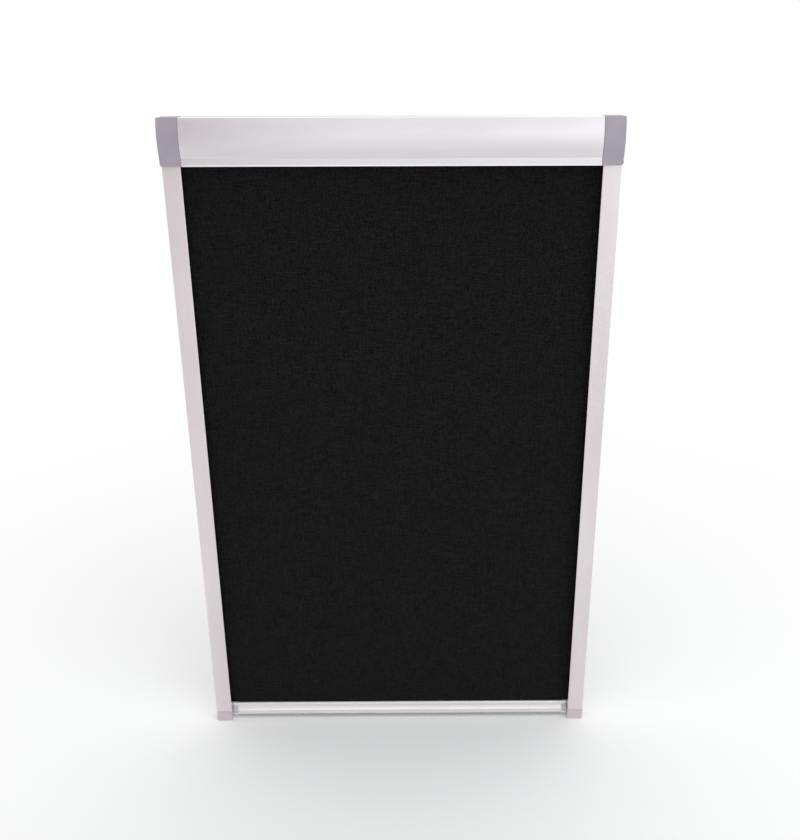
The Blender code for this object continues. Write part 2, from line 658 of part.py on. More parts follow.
def make_idler_pin(finish, parent):
    """The steel pin that carries the roller's left end, and is pushed in to lift the roller out."""
    steps = [
        (PIN_TAIL_X, PIN_TAIL_RADIUS),
        (COLLAR_X[0], PIN_TAIL_RADIUS),
        (COLLAR_X[0], PIN_COLLAR_RADIUS),
        (COLLAR_X[1], PIN_COLLAR_RADIUS),
        (COLLAR_X[1], PIN_RADIUS),
        (SHAFT_END_X - PIN_RADIUS / 2, PIN_RADIUS),
        (SHAFT_END_X, PIN_RADIUS / 2),
    ]
    return smooth(turned("idler_pin", [(-x, radius) for x, radius in steps], finish, parent))


def make_idler_bush(finish, parent):
    """The bush in the left end cap in which the idler pin turns."""
    bush = rod("idler_bush", mirrored(-1, BEARING_X), BEARING_RADIUS, finish, parent, ROLLER_AXIS)
    bore_x = (-(BEARING_X[1] + GAP), -(BEARING_X[0] - GAP))
    cut(bush, rod("idler_bush bore", bore_x, PIN_RADIUS + SHAFT_PLAY, finish, parent, ROLLER_AXIS))
    return smooth(bush)


def tongue_ranges(play):
    """The spindle's flat tongue, across Y and Z, grown by some play."""
    half_y, half_z = TONGUE_WIDTH / 2 + play, TONGUE_THICKNESS / 2 + play
    return (ROLLER_Y - half_y, ROLLER_Y + half_y), (ROLLER_Z - half_z, ROLLER_Z + half_z)


def make_spindle_seat(finish, parent):
    """The slotted seat in the right end cap that keeps the spindle from turning."""
    seat = rod("spindle_seat", BEARING_X, BEARING_RADIUS, finish, parent, ROLLER_AXIS)
    slot_x = (BEARING_X[0] - GAP, BEARING_X[1] + GAP)
    cut(seat, box("spindle_seat slot", slot_x, *tongue_ranges(GAP), finish, parent))
    return smooth(seat)


def make_spindle(finish, parent):
    """The fixed rod inside the tube, with a flat tongue at its outer end."""
    spindle = rod("drive_spindle", SPINDLE_X, SPINDLE_RADIUS, finish, parent, ROLLER_AXIS)
    tongue_x = (SPINDLE_X[1] - TONGUE_LENGTH, SHAFT_END_X)
    join(spindle, box("drive_spindle tongue", tongue_x, *tongue_ranges(0.0), finish, parent))
    return smooth(spindle)


def make_spring_anchor(finish, parent):
    """The collar on the spindle that holds the drive spring's fixed end."""
    anchor = rod("spring_anchor", ANCHOR_X, ANCHOR_RADIUS, finish, parent, ROLLER_AXIS)
    bore_x = (ANCHOR_X[0] - GAP, ANCHOR_X[1] + GAP)
    cut(anchor, rod("spring_anchor bore", bore_x, SPINDLE_RADIUS + GAP, finish, parent, ROLLER_AXIS))
    return smooth(anchor)


def make_springs(finish, blind, roller):
    """The drive spring round the spindle, and the small one behind the idler pin."""
    drive_ends = (ANCHOR_X[1] + GAP, PLUG_INNER_X - GAP)
    drive = (DRIVE_SPRING_RADIUS, DRIVE_SPRING_WIRE, DRIVE_SPRING_TURNS)
    coil("drive_spring", *drive, drive_ends, 0, finish, blind, (0.0, *ROLLER_AXIS))
    idler_ends = (-(COLLAR_X[0] - GAP), -(CHAMBER_X[0] + GAP))
    idler = (IDLER_SPRING_RADIUS, IDLER_SPRING_WIRE, IDLER_SPRING_TURNS)
    coil("idler_spring", *idler, idler_ends, 0, finish, roller)


def rail_outline(side):
    """The rail's section in (x, y): outer web, two flanges, and the two lips beside the cloth's slot."""
    front, front_in = -RAIL_DEPTH, -RAIL_DEPTH + RAIL_WALL
    back_in = -RAIL_WALL
    lip_x = RAIL_INNER_X + RAIL_WALL
    back_x = RAIL_INNER_X + RAIL_BACK_SHORTER
    shelf = FRONT_PILE_Y[0] - GAP
    corners = [
        (HALF_WIDTH, 0.0, RAIL_EDGE_RADIUS),
        (back_x, 0.0, RAIL_EDGE_RADIUS),
        (back_x, FABRIC_Y + RAIL_SLOT_HALF, 0.0),
        (lip_x, FABRIC_Y + RAIL_SLOT_HALF, 0.0),
        (lip_x, back_in, 0.0),
        (RIB_X[0], back_in, 0.0),
        (RIB_X[0], back_in - RIB_HEIGHT, 0.0),
        (RIB_X[1], back_in - RIB_HEIGHT, 0.0),
        (RIB_X[1], back_in, 0.0),
        (WEB_INNER_X, back_in, 0.0),
        (WEB_INNER_X, front_in, 0.0),
        (lip_x, front_in, 0.0),
        (lip_x, shelf - RAIL_WALL, 0.0),
        (RIB_X[1], shelf - RAIL_WALL, 0.0),
        (RIB_X[1], shelf + RIB_HEIGHT, 0.0),
        (RIB_X[0], shelf + RIB_HEIGHT, 0.0),
        (RIB_X[0], shelf, 0.0),
        (lip_x, shelf, 0.0),
        (lip_x, FABRIC_Y - RAIL_SLOT_HALF, 0.0),
        (RAIL_INNER_X, FABRIC_Y - RAIL_SLOT_HALF, 0.0),
        (RAIL_INNER_X, front, RAIL_EDGE_RADIUS),
        (HALF_WIDTH, front, RAIL_EDGE_RADIUS),
    ]
    return [(side * x, y) for x, y in rounded(corners)]


def make_rail(side_name, side, finish, parent):
    """One side rail, drilled through its web for the screws that hold it to the window."""
    name = side_name + "_rail"
    rail = loft(name, [along_z(rail_outline(side), z) for z in (RAIL_BOTTOM_Z, RAIL_TOP_Z)], finish, parent)
    first = RAIL_TOP_Z - RAIL_HOLE_INSET
    spacing = (RAIL_TOP_Z - RAIL_BOTTOM_Z - 2 * RAIL_HOLE_INSET) / (RAIL_HOLES - 1)
    hole_x = mirrored(side, (WEB_INNER_X - GAP, HALF_WIDTH + GAP))
    for number in range(RAIL_HOLES):
        centre = (-RAIL_DEPTH / 2, first - spacing * number)
        cut(rail, rod(f"{name} hole {number}", hole_x, RAIL_HOLE_RADIUS, finish, parent, centre))
    return smooth(rail)


def make_pile(name, side, y_range, finish, parent):
    """A pile strip in a rail, whose tips stop just clear of the bar's neck."""
    return box(name, mirrored(side, PILE_X), y_range, (RAIL_BOTTOM_Z, RAIL_TOP_Z), finish, parent)


def make_rail_cap(side_name, side, finish, parent):
    """The moulded cap on a rail's foot, with a plug up the rail and a pocket where the glider rests."""
    name = side_name + "_rail_cap"
    front = -(RAIL_DEPTH + RAIL_CAP_PROUD)
    corners = [
        (HALF_WIDTH, 0.0, 0.0),
        (RAIL_INNER_X, 0.0, 0.0),
        (RAIL_INNER_X, front, RAIL_EDGE_RADIUS),
        (HALF_WIDTH, front, RAIL_EDGE_RADIUS),
    ]
    full = rounded(corners)
    foot_x = (RAIL_INNER_X + RAIL_CAP_EDGE, HALF_WIDTH - RAIL_CAP_EDGE)
    foot = [(min(max(x, foot_x[0]), foot_x[1]), max(y, front + RAIL_CAP_EDGE)) for x, y in full]
    rings = [(foot, BASE_Z), (full, BASE_Z + RAIL_CAP_EDGE), (full, RAIL_CAP_TOP_Z)]
    cap = loft(name, [along_z([(side * x, y) for x, y in ring], z) for ring, z in rings], finish, parent)
    pocket_x = mirrored(side, (GLIDER_X[0] - GAP, GLIDER_X[1] + GAP))
    pocket_y = (-(RAIL_DEPTH - RAIL_WALL), -RAIL_WALL)
    pocket_z = (BAR_Z - GLIDER_TOP - GLIDER_HEIGHT - GAP, RAIL_CAP_TOP_Z + GAP)
    cut(cap, box(name + " pocket", pocket_x, pocket_y, pocket_z, finish, parent))
    plug_z = (RAIL_CAP_TOP_Z - END_CAP_WALL, RAIL_CAP_TOP_Z + SPIGOT_LENGTH)
    join(cap, box(name + " plug", mirrored(side, SPIGOT_X), spigot_y_range(), plug_z, finish, parent))
    return cap


def make_fabric(finish, parent):
    """The free cloth, from the roller down into the bar, and narrower where it enters the bar's slit."""
    top_z = ROLLER_Z - GAP
    step_z = BAR_Z + GAP
    foot_z = BAR_Z - BAR_SLIT_DEPTH + GAP
    wide, narrow = FABRIC_HALF_WIDTH, BAR_HALF_LENGTH - GAP
    right = [(narrow, foot_z), (narrow, step_z), (wide, step_z), (wide, top_z)]
    outline = [(-x, z) for x, z in right[::-1]] + right
    faces_y = (FABRIC_Y - FABRIC_THICKNESS / 2, FABRIC_Y + FABRIC_THICKNESS / 2)
    return loft("fabric", [along_y(outline, y) for y in faces_y], finish, parent)


def bar_outline():
    """The bar's section in (y, z) from the cloth's plane and the bar's top: plate, scoop, ledge and slit."""
    plate_foot = (-BAR_PLATE_FRONT, -BAR_PLATE_HEIGHT)
    half = SCOOP_ANGLE / 2
    middle = (
        plate_foot[0] - SCOOP_RADIUS * (1 - math.cos(half)),
        plate_foot[1] - SCOOP_RADIUS * math.sin(half),
    )
    scoop = arc_through(plate_foot, middle, (SCOOP_FOOT_Y, SCOOP_FOOT_Z), SCOOP_STEPS)
    groove_top = LEDGE_Z - LEDGE_GROOVE_TOP
    groove_foot = groove_top - LEDGE_GROOVE_HEIGHT
    groove_y = -(LEDGE_FRONT - LEDGE_GROOVE)
    edge = BAR_EDGE_RADIUS
    outside = [
        (-BAR_SLIT_HALF, 0.0, 0.0),
        (-BAR_PLATE_FRONT, 0.0, edge),
        *((y, z, 0.0) for y, z in scoop),
        (-LEDGE_FRONT, LEDGE_Z, edge),
        (-LEDGE_FRONT, groove_top, 0.0),
        (groove_y, groove_top, 0.0),
        (groove_y, groove_foot, 0.0),
        (-LEDGE_FRONT, groove_foot, 0.0),
        (-LEDGE_FRONT, -BAR_HEIGHT, edge),
        (BAR_BACK, -BAR_HEIGHT, edge),
        (BAR_BACK, 0.0, edge),
        (BAR_SLIT_HALF, 0.0, 0.0),
    ]
    opening = math.asin(BAR_SLIT_HALF / BAR_KEDER_RADIUS)
    sweep = 2 * (math.pi - opening)
    turns = [math.pi / 2 - opening - sweep * k / CHAMBER_STEPS for k in range(CHAMBER_STEPS + 1)]
    chamber = [(BAR_KEDER_RADIUS * math.cos(t), KEDER_Z + BAR_KEDER_RADIUS * math.sin(t)) for t in turns]
    return rounded(outside, steps=SMALL_CORNER_STEPS) + chamber


def bar_hollow(play):
    """The y and z ranges of the space behind the bar's ledge, less some play all round."""
    y_range = (-(LEDGE_FRONT - LEDGE_GROOVE - BAR_WALL) + play, -(BAR_KEDER_RADIUS + BAR_WALL) - play)
    z_range = (-(BAR_HEIGHT - BAR_WALL) + play, SCOOP_FOOT_Z - BAR_WALL - play)
    return y_range, z_range


def make_bottom_bar(finish, parent):
    """The aluminium bar that pulls the cloth, hollow behind its ledge."""
    ends = (-BAR_HALF_LENGTH, BAR_HALF_LENGTH)
    bar = loft("bottom_bar", [along_x(bar_outline(), x) for x in ends], finish, parent)
    beyond = BAR_HALF_LENGTH + GAP
    cut(bar, box("bottom_bar hollow", (-beyond, beyond), *bar_hollow(0.0), finish, parent))
    return smooth(bar)


def make_bar_keder(finish, parent):
    """The round cord in the cloth's hem, which the bar's chamber holds."""
    half = BAR_HALF_LENGTH - GAP
    radius = BAR_KEDER_RADIUS - KEDER_PLAY
    return smooth(rod("bar_keder", (-half, half), radius, finish, parent, (0.0, KEDER_Z)))


def make_bar_seal(finish, parent):
    """The soft strip under the bar that meets the window."""
    y_range = (-(LEDGE_FRONT - BAR_SEAL_INSET), BAR_BACK - BAR_EDGE_RADIUS)
    z_range = (-(BAR_HEIGHT + GAP + BAR_SEAL_HEIGHT), -(BAR_HEIGHT + GAP))
    return box("bar_seal", (-BAR_HALF_LENGTH, BAR_HALF_LENGTH), y_range, z_range, finish, parent)


def make_bar_end(side_name, side, finish, parent):
    """The bar's moulded end: a cheek on the bar, a neck in the rail's slot and a glider in the rail."""
    name = side_name + "_bar_end"
    edge = BAR_EDGE_RADIUS
    cheek = [
        (BAR_BACK, 0.0, edge),
        (-BAR_PLATE_FRONT, 0.0, edge),
        (-BAR_PLATE_FRONT, -BAR_END_SHOULDER, 0.0),
        (-LEDGE_FRONT, LEDGE_Z, edge),
        (-LEDGE_FRONT, -BAR_HEIGHT, edge),
        (BAR_BACK, -BAR_HEIGHT, edge),
    ]
    outline = rounded(cheek, steps=SMALL_CORNER_STEPS)
    end = loft(name, [along_x(outline, side * x) for x in BAR_END_X], finish, parent)
    tongue_x = mirrored(side, (BAR_END_X[0] - BAR_TONGUE_LENGTH, BAR_END_X[0] + BAR_WALL))
    join(end, box(name + " tongue", tongue_x, *bar_hollow(GAP), finish, parent))
    neck_x = mirrored(side, (BAR_END_X[1] - BAR_WALL, GLIDER_X[0] + BAR_WALL))
    neck_z = (-(NECK_TOP + NECK_HEIGHT), -NECK_TOP)
    join(end, box(name + " neck", neck_x, (-NECK_HALF, NECK_HALF), neck_z, finish, parent))
    flange_reach = RAIL_WALL + GLIDER_PLAY
    glider_y = (flange_reach - RAIL_DEPTH - FABRIC_Y, -flange_reach - FABRIC_Y)
    glider_z = (-(GLIDER_TOP + GLIDER_HEIGHT), -GLIDER_TOP)
    join(end, box(name + " glider", mirrored(side, GLIDER_X), glider_y, glider_z, finish, parent))
    pocket_x, pocket_y, pocket_z = brake_space(side, play=GAP)
    pocket_y = (pocket_y[0], glider_y[1] + GAP)
    cut(end, box(name + " brake pocket", pocket_x, pocket_y, pocket_z, finish, parent))
    return end


def brake_space(side, play):
    """The brake's x, y and z ranges from the cloth's plane and the bar's top, grown by some play."""
    middle_x, middle_z = sum(GLIDER_X) / 2, -(GLIDER_TOP + GLIDER_HEIGHT / 2)
    half_x, half_z = BRAKE_WIDTH / 2 + play, BRAKE_HEIGHT / 2 + play
    face_y = -(RAIL_WALL + GAP) - FABRIC_Y
    x_range = mirrored(side, (middle_x - half_x, middle_x + half_x))
    return x_range, (face_y - BRAKE_POCKET_DEPTH, face_y), (middle_z - half_z, middle_z + half_z)


def make_brake(side_name, side, rubber, steel, parent):
    """The rubber shoe that rubs on the rail's back flange, and the spring behind it."""
    x_range, (floor_y, face_y), z_range = brake_space(side, play=0.0)
    box(side_name + "_brake_pad", x_range, (face_y - BRAKE_THICKNESS, face_y), z_range, rubber, parent)
    ends = (floor_y + GAP, face_y - BRAKE_THICKNESS - GAP)
    spring = (BRAKE_SPRING_RADIUS, BRAKE_SPRING_WIRE, BRAKE_SPRING_TURNS)
    centre = (sum(x_range) / 2, 0.0, sum(z_range) / 2)
    coil(side_name + "_brake_spring", *spring, ends, 1, steel, parent, centre)


def main():
    clear_scene()
    aluminium = finish_of("anodised aluminium", (0.75, 0.71, 0.74), 0.4, 1.0)
    mill = finish_of("mill aluminium", (0.62, 0.62, 0.63), 0.45, 1.0)
    plastic = finish_of("grey plastic", (0.35, 0.31, 0.36), 0.45)
    pale_plastic = finish_of("pale grey plastic", (0.54, 0.49, 0.52), 0.45)
    acetal = finish_of("white acetal", (0.75, 0.75, 0.73), 0.4)
    steel = finish_of("zinc plated steel", (0.55, 0.55, 0.56), 0.35, 1.0)
    spring_steel = finish_of("spring steel", (0.32, 0.32, 0.33), 0.35, 1.0)
    cloth = finish_of("black blackout cloth", (0.01, 0.01, 0.01), 0.85)
    pile = finish_of("grey pile", (0.12, 0.12, 0.13), 0.95)
    rubber = finish_of("black rubber", (0.03, 0.03, 0.03), 0.8)

    blind = place_empty("blind", (0.0, 0.0, 0.0))
    roller = place_empty("roller axis", (0.0, *ROLLER_AXIS), blind)
    bar = place_empty("bar carriage", (0.0, FABRIC_Y, BAR_Z), blind)

    make_headbox_cover(aluminium, blind)
    make_headbox_back(aluminium, blind)
    make_slot_brush(pile, blind)
    make_fabric(cloth, blind)
    make_idler_bush(acetal, blind)
    make_spindle_seat(steel, blind)
    make_spindle(steel, blind)
    make_spring_anchor(acetal, blind)
    make_springs(spring_steel, blind, roller)

    make_roller_tube(mill, roller)
    make_roller_strip(acetal, roller)
    make_fabric_roll(cloth, roller)
    make_idler_plug(acetal, roller)
    make_idler_pin(steel, roller)
    make_drive_plug(acetal, roller)
    make_spindle_guide(acetal, roller)

    make_bottom_bar(aluminium, bar)
    make_bar_keder(acetal, bar)
    make_bar_seal(rubber, bar)

    for side_name, side in (("left", -1), ("right", 1)):
        make_end_cap(side_name, side, plastic, blind)
        make_cap_screw(side_name + "_upper_cap_screw", side, BACK_PORT, steel, blind)
        make_cap_screw(side_name + "_lower_cap_screw", side, FRONT_PORT, steel, blind)
        make_rail(side_name, side, aluminium, blind)
        make_rail_cap(side_name, side, pale_plastic, blind)
        make_pile(side_name + "_front_pile", side, FRONT_PILE_Y, pile, blind)
        make_pile(side_name + "_back_pile", side, BACK_PILE_Y, pile, blind)
        make_bar_end(side_name, side, pale_plastic, bar)
        make_brake(side_name, side, rubber, spring_steel, bar)


main()
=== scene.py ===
"""Looks of a blackout roller blind for a roof window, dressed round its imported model.

+Z runs up the blind, -Y into the room and +X to the right. All sizes are in metres.
"""

import json
import math
import random

import bmesh
import bpy
from mathutils import Matrix, Vector

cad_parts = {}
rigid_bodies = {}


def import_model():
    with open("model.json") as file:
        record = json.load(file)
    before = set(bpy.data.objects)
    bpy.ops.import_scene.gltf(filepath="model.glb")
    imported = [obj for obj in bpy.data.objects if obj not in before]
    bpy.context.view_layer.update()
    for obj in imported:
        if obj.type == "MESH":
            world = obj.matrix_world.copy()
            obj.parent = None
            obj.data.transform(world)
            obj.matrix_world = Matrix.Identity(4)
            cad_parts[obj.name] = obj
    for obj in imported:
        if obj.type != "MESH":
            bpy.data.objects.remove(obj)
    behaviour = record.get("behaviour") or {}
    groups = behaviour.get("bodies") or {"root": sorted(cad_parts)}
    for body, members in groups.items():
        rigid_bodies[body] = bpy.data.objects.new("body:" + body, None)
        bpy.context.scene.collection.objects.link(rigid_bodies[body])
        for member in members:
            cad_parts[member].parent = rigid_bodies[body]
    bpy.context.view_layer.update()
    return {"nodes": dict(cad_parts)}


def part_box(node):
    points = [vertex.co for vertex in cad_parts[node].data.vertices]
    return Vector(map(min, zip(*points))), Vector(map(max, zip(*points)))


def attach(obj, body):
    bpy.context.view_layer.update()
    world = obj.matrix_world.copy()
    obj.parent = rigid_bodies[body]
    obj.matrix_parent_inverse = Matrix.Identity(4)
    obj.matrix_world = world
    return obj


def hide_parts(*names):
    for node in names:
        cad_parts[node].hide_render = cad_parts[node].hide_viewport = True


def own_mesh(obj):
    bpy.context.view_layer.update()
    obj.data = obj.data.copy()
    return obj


for old in list(bpy.data.objects):
    bpy.data.objects.remove(old)

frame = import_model()

# Camera, fitted to the photograph's straight edges
CAMERA_PLACE = (0.0336, -1.2904, 0.0977)
CAMERA_PITCH = 21.215
CAMERA_YAW = 0.251
CAMERA_ROLL = -0.176
FOCAL_PIXELS = 923.3
SHIFT_PIXELS = 22.3
FRAME_PIXELS = 840
SENSOR = 36.0

# Floor and light
FLOOR_RADIUS = 30.0
FLOOR_SEGMENTS = 96
FLOOR_DROP = 0.0002
FLOOR_FADE = (0.12, 1.6)
FLOOR_COLOUR = (0.98, 0.98, 0.983)
FILL_STRENGTH = 0.78
LIGHTS = (
    # name, place, aim, width, height, watts, colour
    ("key light", (2.75, -2.7, 0.85), (0.0, 0.0, -0.2), 3.0, 3.0, 29.0, (0.9, 1.0, 1.03)),
    ("front light", (1.0, -3.4, 0.3), (0.0, 0.0, 0.0), 2.4, 1.0, 2.5, (0.92, 1.0, 1.03)),
    ("top light", (0.0, -0.7, 3.1), (0.0, -0.3, -0.9), 3.0, 2.4, 26.0, (1.0, 1.0, 1.0)),
    ("back light", (1.6, 3.0, 1.2), (0.0, 0.0, -0.4), 2.6, 2.6, 6.0, (1.0, 1.0, 1.0)),
)
CARDS = (
    # name, place, width, height, shade
    ("grey_card", (-0.92, -0.92, 0.25), 0.9, 1.2, (0.44, 0.35, 0.36)),
    ("low_card", (-0.1, -1.0, -0.88), 3.0, 1.0, (0.86, 0.85, 0.86)),
)

# Spans that are stretched to a full range: of a texture, a fleck, and a face's turn to the middle
TEXTURE_SPAN = (0.3, 0.7)
FLECK_SPAN = (0.75, 1.25)
FLANK_SPAN = (-0.8, -0.97)

# Steps in round shapes, and the easing of cut and moulded edges
ARC_STEPS = 6
BULGE_STEPS = 40
BULGE_STEPS_IN_CORNER = 3
FOOT_STEPS = 8
RIM_STEPS = 6
ROUND_STEPS = 32
SHARP_ANGLE = math.radians(32)
MOST_WEIGHTED = 8000
CUT_EASE = 0.00015
MOULD_EASE = 0.0004
GAP = 0.0003

# Headbox section, as in the model
SHELL_WALL = 0.0014
TOP_SETBACK = 0.0045
APEX_BELOW_TOP = 0.022
CREASE_SETBACK = 0.003
LIP_HEIGHT = 0.0115
LIP_SETBACK = 0.0038
LIP_STEP_HEIGHT = 0.0012
TOP_CORNER_RADIUS = 0.001
LIP_CORNER_RADIUS = 0.0015
LIP_BEAD_PROUD = 0.0008
LIP_BEAD_HEIGHT = 0.001
LIP_BEAD_RADIUS = 0.0003
SLOT_FRONT_GAP = 0.005
SLOT_BACK_GAP = 0.0035
BACK_FLANGE_REACH = 0.022

# End caps of the headbox, and their screws
CAP_WALL = 0.002
CAP_PLATE = 0.003
CAP_PROUD = 0.0005
CAP_EDGE = 0.0012
CAP_STEP_HEIGHT = 0.003
CAP_FOOT_RADIUS = 0.004
BEARING_RADIUS = 0.005
BEARING_LENGTH = 0.004
BEARING_BOSS_WALL = 0.0015
BEARING_BOSS_LENGTH = 0.0035
SCREW_RADIUS = 0.0012
SCREW_PLAY = 0.0003
SCREW_HEAD_RADIUS = 0.0026
SCREW_HEAD_THICKNESS = 0.0015
SCREW_THREAD_PITCH = 0.0011
PORT_WALL = 0.0015
PORT_SINK = 0.0005
BOSS_WALL = 0.0019
SPIGOT_THICKNESS = 0.0033
SPIGOT_LENGTH = 0.007
SPIGOT_SIDE_GAP = 0.0016
THREAD_ROOT = 0.78
THREAD_LENGTH = 0.0165
THREAD_STEPS = 6
SHANK_RADIUS = SCREW_RADIUS * 0.9
TIP_SHARE = 0.4
DOME_SHARE = 0.35
DOME_STEPS = 6
SCREW_HEAD_EASE = 0.0002
RECESS_DEPTH = 0.0009
RECESS_REACH = 0.0013
RECESS_HALF = 0.00032

# Cloth and its roll
CLOTH_THICKNESS = 0.0004
CLOTH_CELLS = (90, 140)
CLOTH_RIPPLE = 0.00012
ROLL_STEPS_PER_TURN = 96
ROLL_PITCH = 0.0007
ROLL_TURNS = 1.25
ROLL_CLEARANCE = 0.0005
WEAVE_PITCH = 0.00052

# Rails
RAIL_WALL = 0.0014
RAIL_BACK_SHORTER = 0.001
RAIL_EDGE_RADIUS = 0.0006
RAIL_LIP_RADIUS = 0.0012
RAIL_INNER_RADIUS = 0.00018
RAIL_SLOT_HALF = 0.0035
RAIL_HOLE_RADIUS = 0.0018
RAIL_HOLE_INSET = 0.100
RAIL_HOLES = 3
RIB_WIDTH = 0.001
RIB_HEIGHT = 0.0012
RAIL_CAP_EDGE = 0.001
PILE_BACKING = 0.0007
PILE_STEP = 0.0008
PILE_RAGGED = 0.0007
PILE_SECTION = (  # how far across and how far out, None where the pile meets its backing
    (0.0, 0.0), (1.0, 0.0), (1.0, None), (0.94, 1.0), (0.5, 1.0), (0.06, 1.0), (0.0, None),
)

# Bottom bar, from the cloth's plane and the bar's top
BAR_BACK = 0.0035
BAR_PLATE_FRONT = 0.0045
BAR_PLATE_HEIGHT = 0.005
BAR_TOP_BEVEL = 0.0016
SCOOP_RADIUS = 0.006
SCOOP_ANGLE = math.radians(60)
LEDGE_RADIUS = 0.0012
LEDGE_GROOVE = 0.0006
LEDGE_GROOVE_TOP = 0.001
LEDGE_GROOVE_HEIGHT = 0.0018
BAR_EDGE_RADIUS = 0.0005
BAR_SLIT_HALF = 0.0007
BAR_SLIT_DEPTH = 0.0067
BAR_KEDER_RADIUS = 0.0019
BAR_WALL = 0.0015
BAR_END_WIDTH = 0.008
BAR_RUN_WALL = 0.0015
BAR_RUN_TOP = 0.0046
BAR_RUN_FOOT = 0.0024
NOTCH_HALF = 0.0005
NOTCH_DEPTH = 0.0006
NOTCH_SHARE = 0.43
BAR_TONGUE_LENGTH = 0.014
NECK_HALF = 0.0015
NECK_TOP = 0.001
NECK_HEIGHT = 0.0052
GLIDER_WIDTH = 0.010
GLIDER_TOP = 0.001
GLIDER_HEIGHT = 0.012
GLIDER_PLAY = 0.0004
SEAL_ROUND = 0.0012
SEAL_GROOVE = 0.0007
SEAL_GROOVE_SHARES = (0.36, 0.64)

# Springs (coil radius, wire radius and live turns, as in the model), and how far the bar travels
DRIVE_COIL = (0.0045, 0.0006, 20)
IDLER_COIL = (0.0025, 0.00035, 5)
BRAKE_COIL = (0.002, 0.0003, 5)
DEAD_TURN = 1.06
COIL_STEPS = 20
WIRE_STEPS = 10
SLOPE_REACH = 0.05
BAR_TRAVEL = 0.876

# Names of both sides, and their signs along X
SIDES = (("left", -1), ("right", 1))

# Places read from the model
cover_low, cover_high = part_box("headbox_cover")
rail_low, rail_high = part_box("right_rail")
rail_cap_low, rail_cap_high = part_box("right_rail_cap")
cloth_low, cloth_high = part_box("fabric")
bar_low, bar_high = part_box("bottom_bar")
front_pile_low, front_pile_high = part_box("right_front_pile")
tube_low, tube_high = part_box("roller_tube")

SHELL_END = cover_high.x
TOP = cover_high.z
FOOT = cover_low.z
HALF_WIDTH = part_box("right_end_cap")[1].x
CAP_INNER = SHELL_END + GAP
BASE = rail_cap_low.z
CLOTH_Y = (cloth_low.y + cloth_high.y) / 2
AXIS = ((tube_low.y + tube_high.y) / 2, (tube_low.z + tube_high.z) / 2)
ROLL_RADIUS = CLOTH_Y - AXIS[0]
FULL_ROLL_RADIUS = math.sqrt(ROLL_RADIUS**2 + CLOTH_THICKNESS * BAR_TRAVEL / math.pi)
DEPTH = FULL_ROLL_RADIUS + ROLL_CLEARANCE + SHELL_WALL - AXIS[0]
RAIL_INNER = rail_low.x
RAIL_DEPTH = -rail_low.y
WEB_INNER = HALF_WIDTH - RAIL_WALL
GLIDER_X = front_pile_high.x + 2 * GAP + RIB_WIDTH
BAR_TOP = bar_high.z
BAR_HEIGHT = BAR_TOP - bar_low.z
LEDGE_FRONT = CLOTH_Y - bar_low.y
BAR_END = bar_high.x
KEDER_BELOW = BAR_SLIT_DEPTH + math.sqrt(BAR_KEDER_RADIUS**2 - BAR_SLIT_HALF**2)
SCOOP_FOOT = (
    -(BAR_PLATE_FRONT + SCOOP_RADIUS * (1 - math.cos(SCOOP_ANGLE))),
    -(BAR_PLATE_HEIGHT + SCOOP_RADIUS * math.sin(SCOOP_ANGLE)),
)
LEDGE_Z = SCOOP_FOOT[1] - (LEDGE_FRONT + SCOOP_FOOT[0]) / math.tan(SCOOP_ANGLE)
BOSS_FACE = HALF_WIDTH - CAP_PLATE - BEARING_BOSS_LENGTH
SCREW_BORE = SCREW_RADIUS + SCREW_PLAY
PORT_RADIUS = SCREW_BORE + PORT_WALL
PORT_REACH = SHELL_WALL + PORT_RADIUS - PORT_SINK
BACK_PORT = (-PORT_REACH, TOP - SHELL_WALL - GAP - PORT_REACH)
FRONT_PORT = (-(DEPTH - LIP_SETBACK - PORT_REACH), FOOT + PORT_REACH)


# Node trees


def new_material(name):
    """An empty Principled material, and its node tree."""
    made = bpy.data.materials.new(name)
    made.use_nodes = True
    return made, made.node_tree


def fill(tree, node, inputs):
    """Gives a node's inputs their plain values, or other nodes' outputs."""
    for socket, value in inputs.items():
        if isinstance(value, bpy.types.NodeSocket):
            tree.links.new(value, node.inputs[socket])
        else:
            node.inputs[socket].default_value = value


def add(tree, kind, inputs=None, **settings):
    """The outputs of a new node with these inputs and settings."""
    node = tree.nodes.new("ShaderNode" + kind)
    for name, value in settings.items():
        setattr(node, name, value)
    fill(tree, node, inputs or {})
    return node.outputs


def worked(tree, operation, *values):
    """A sum of plain values and other nodes' outputs."""
    return add(tree, "Math", dict(enumerate(values)), operation=operation)["Value"]


def skin(tree, inputs):
    """Sets the material's Principled shader."""
    fill(tree, tree.nodes["Principled BSDF"], inputs)


def show(tree, shader):
    """Makes a shader the material's surface."""
    fill(tree, tree.nodes["Material Output"], {"Surface": shader})


# Camera, floor and light


def linked(name, data):
    """A new object in the scene."""
    made = bpy.data.objects.new(name, data)
    bpy.context.scene.collection.objects.link(made)
    return made


def meshed(name, bm):
    """A new object in the scene, from a bmesh."""
    mesh = bpy.data.meshes.new(name)
    bm.to_mesh(mesh)
    bm.free()
    return linked(name, mesh)


def aimed(target, place, direction, axis):
    """Puts a lamp or a card in its place, with one of its axes along a direction."""
    target.location = place
    target.rotation_mode = "QUATERNION"
    target.rotation_quaternion = direction.to_track_quat(axis, "Y")


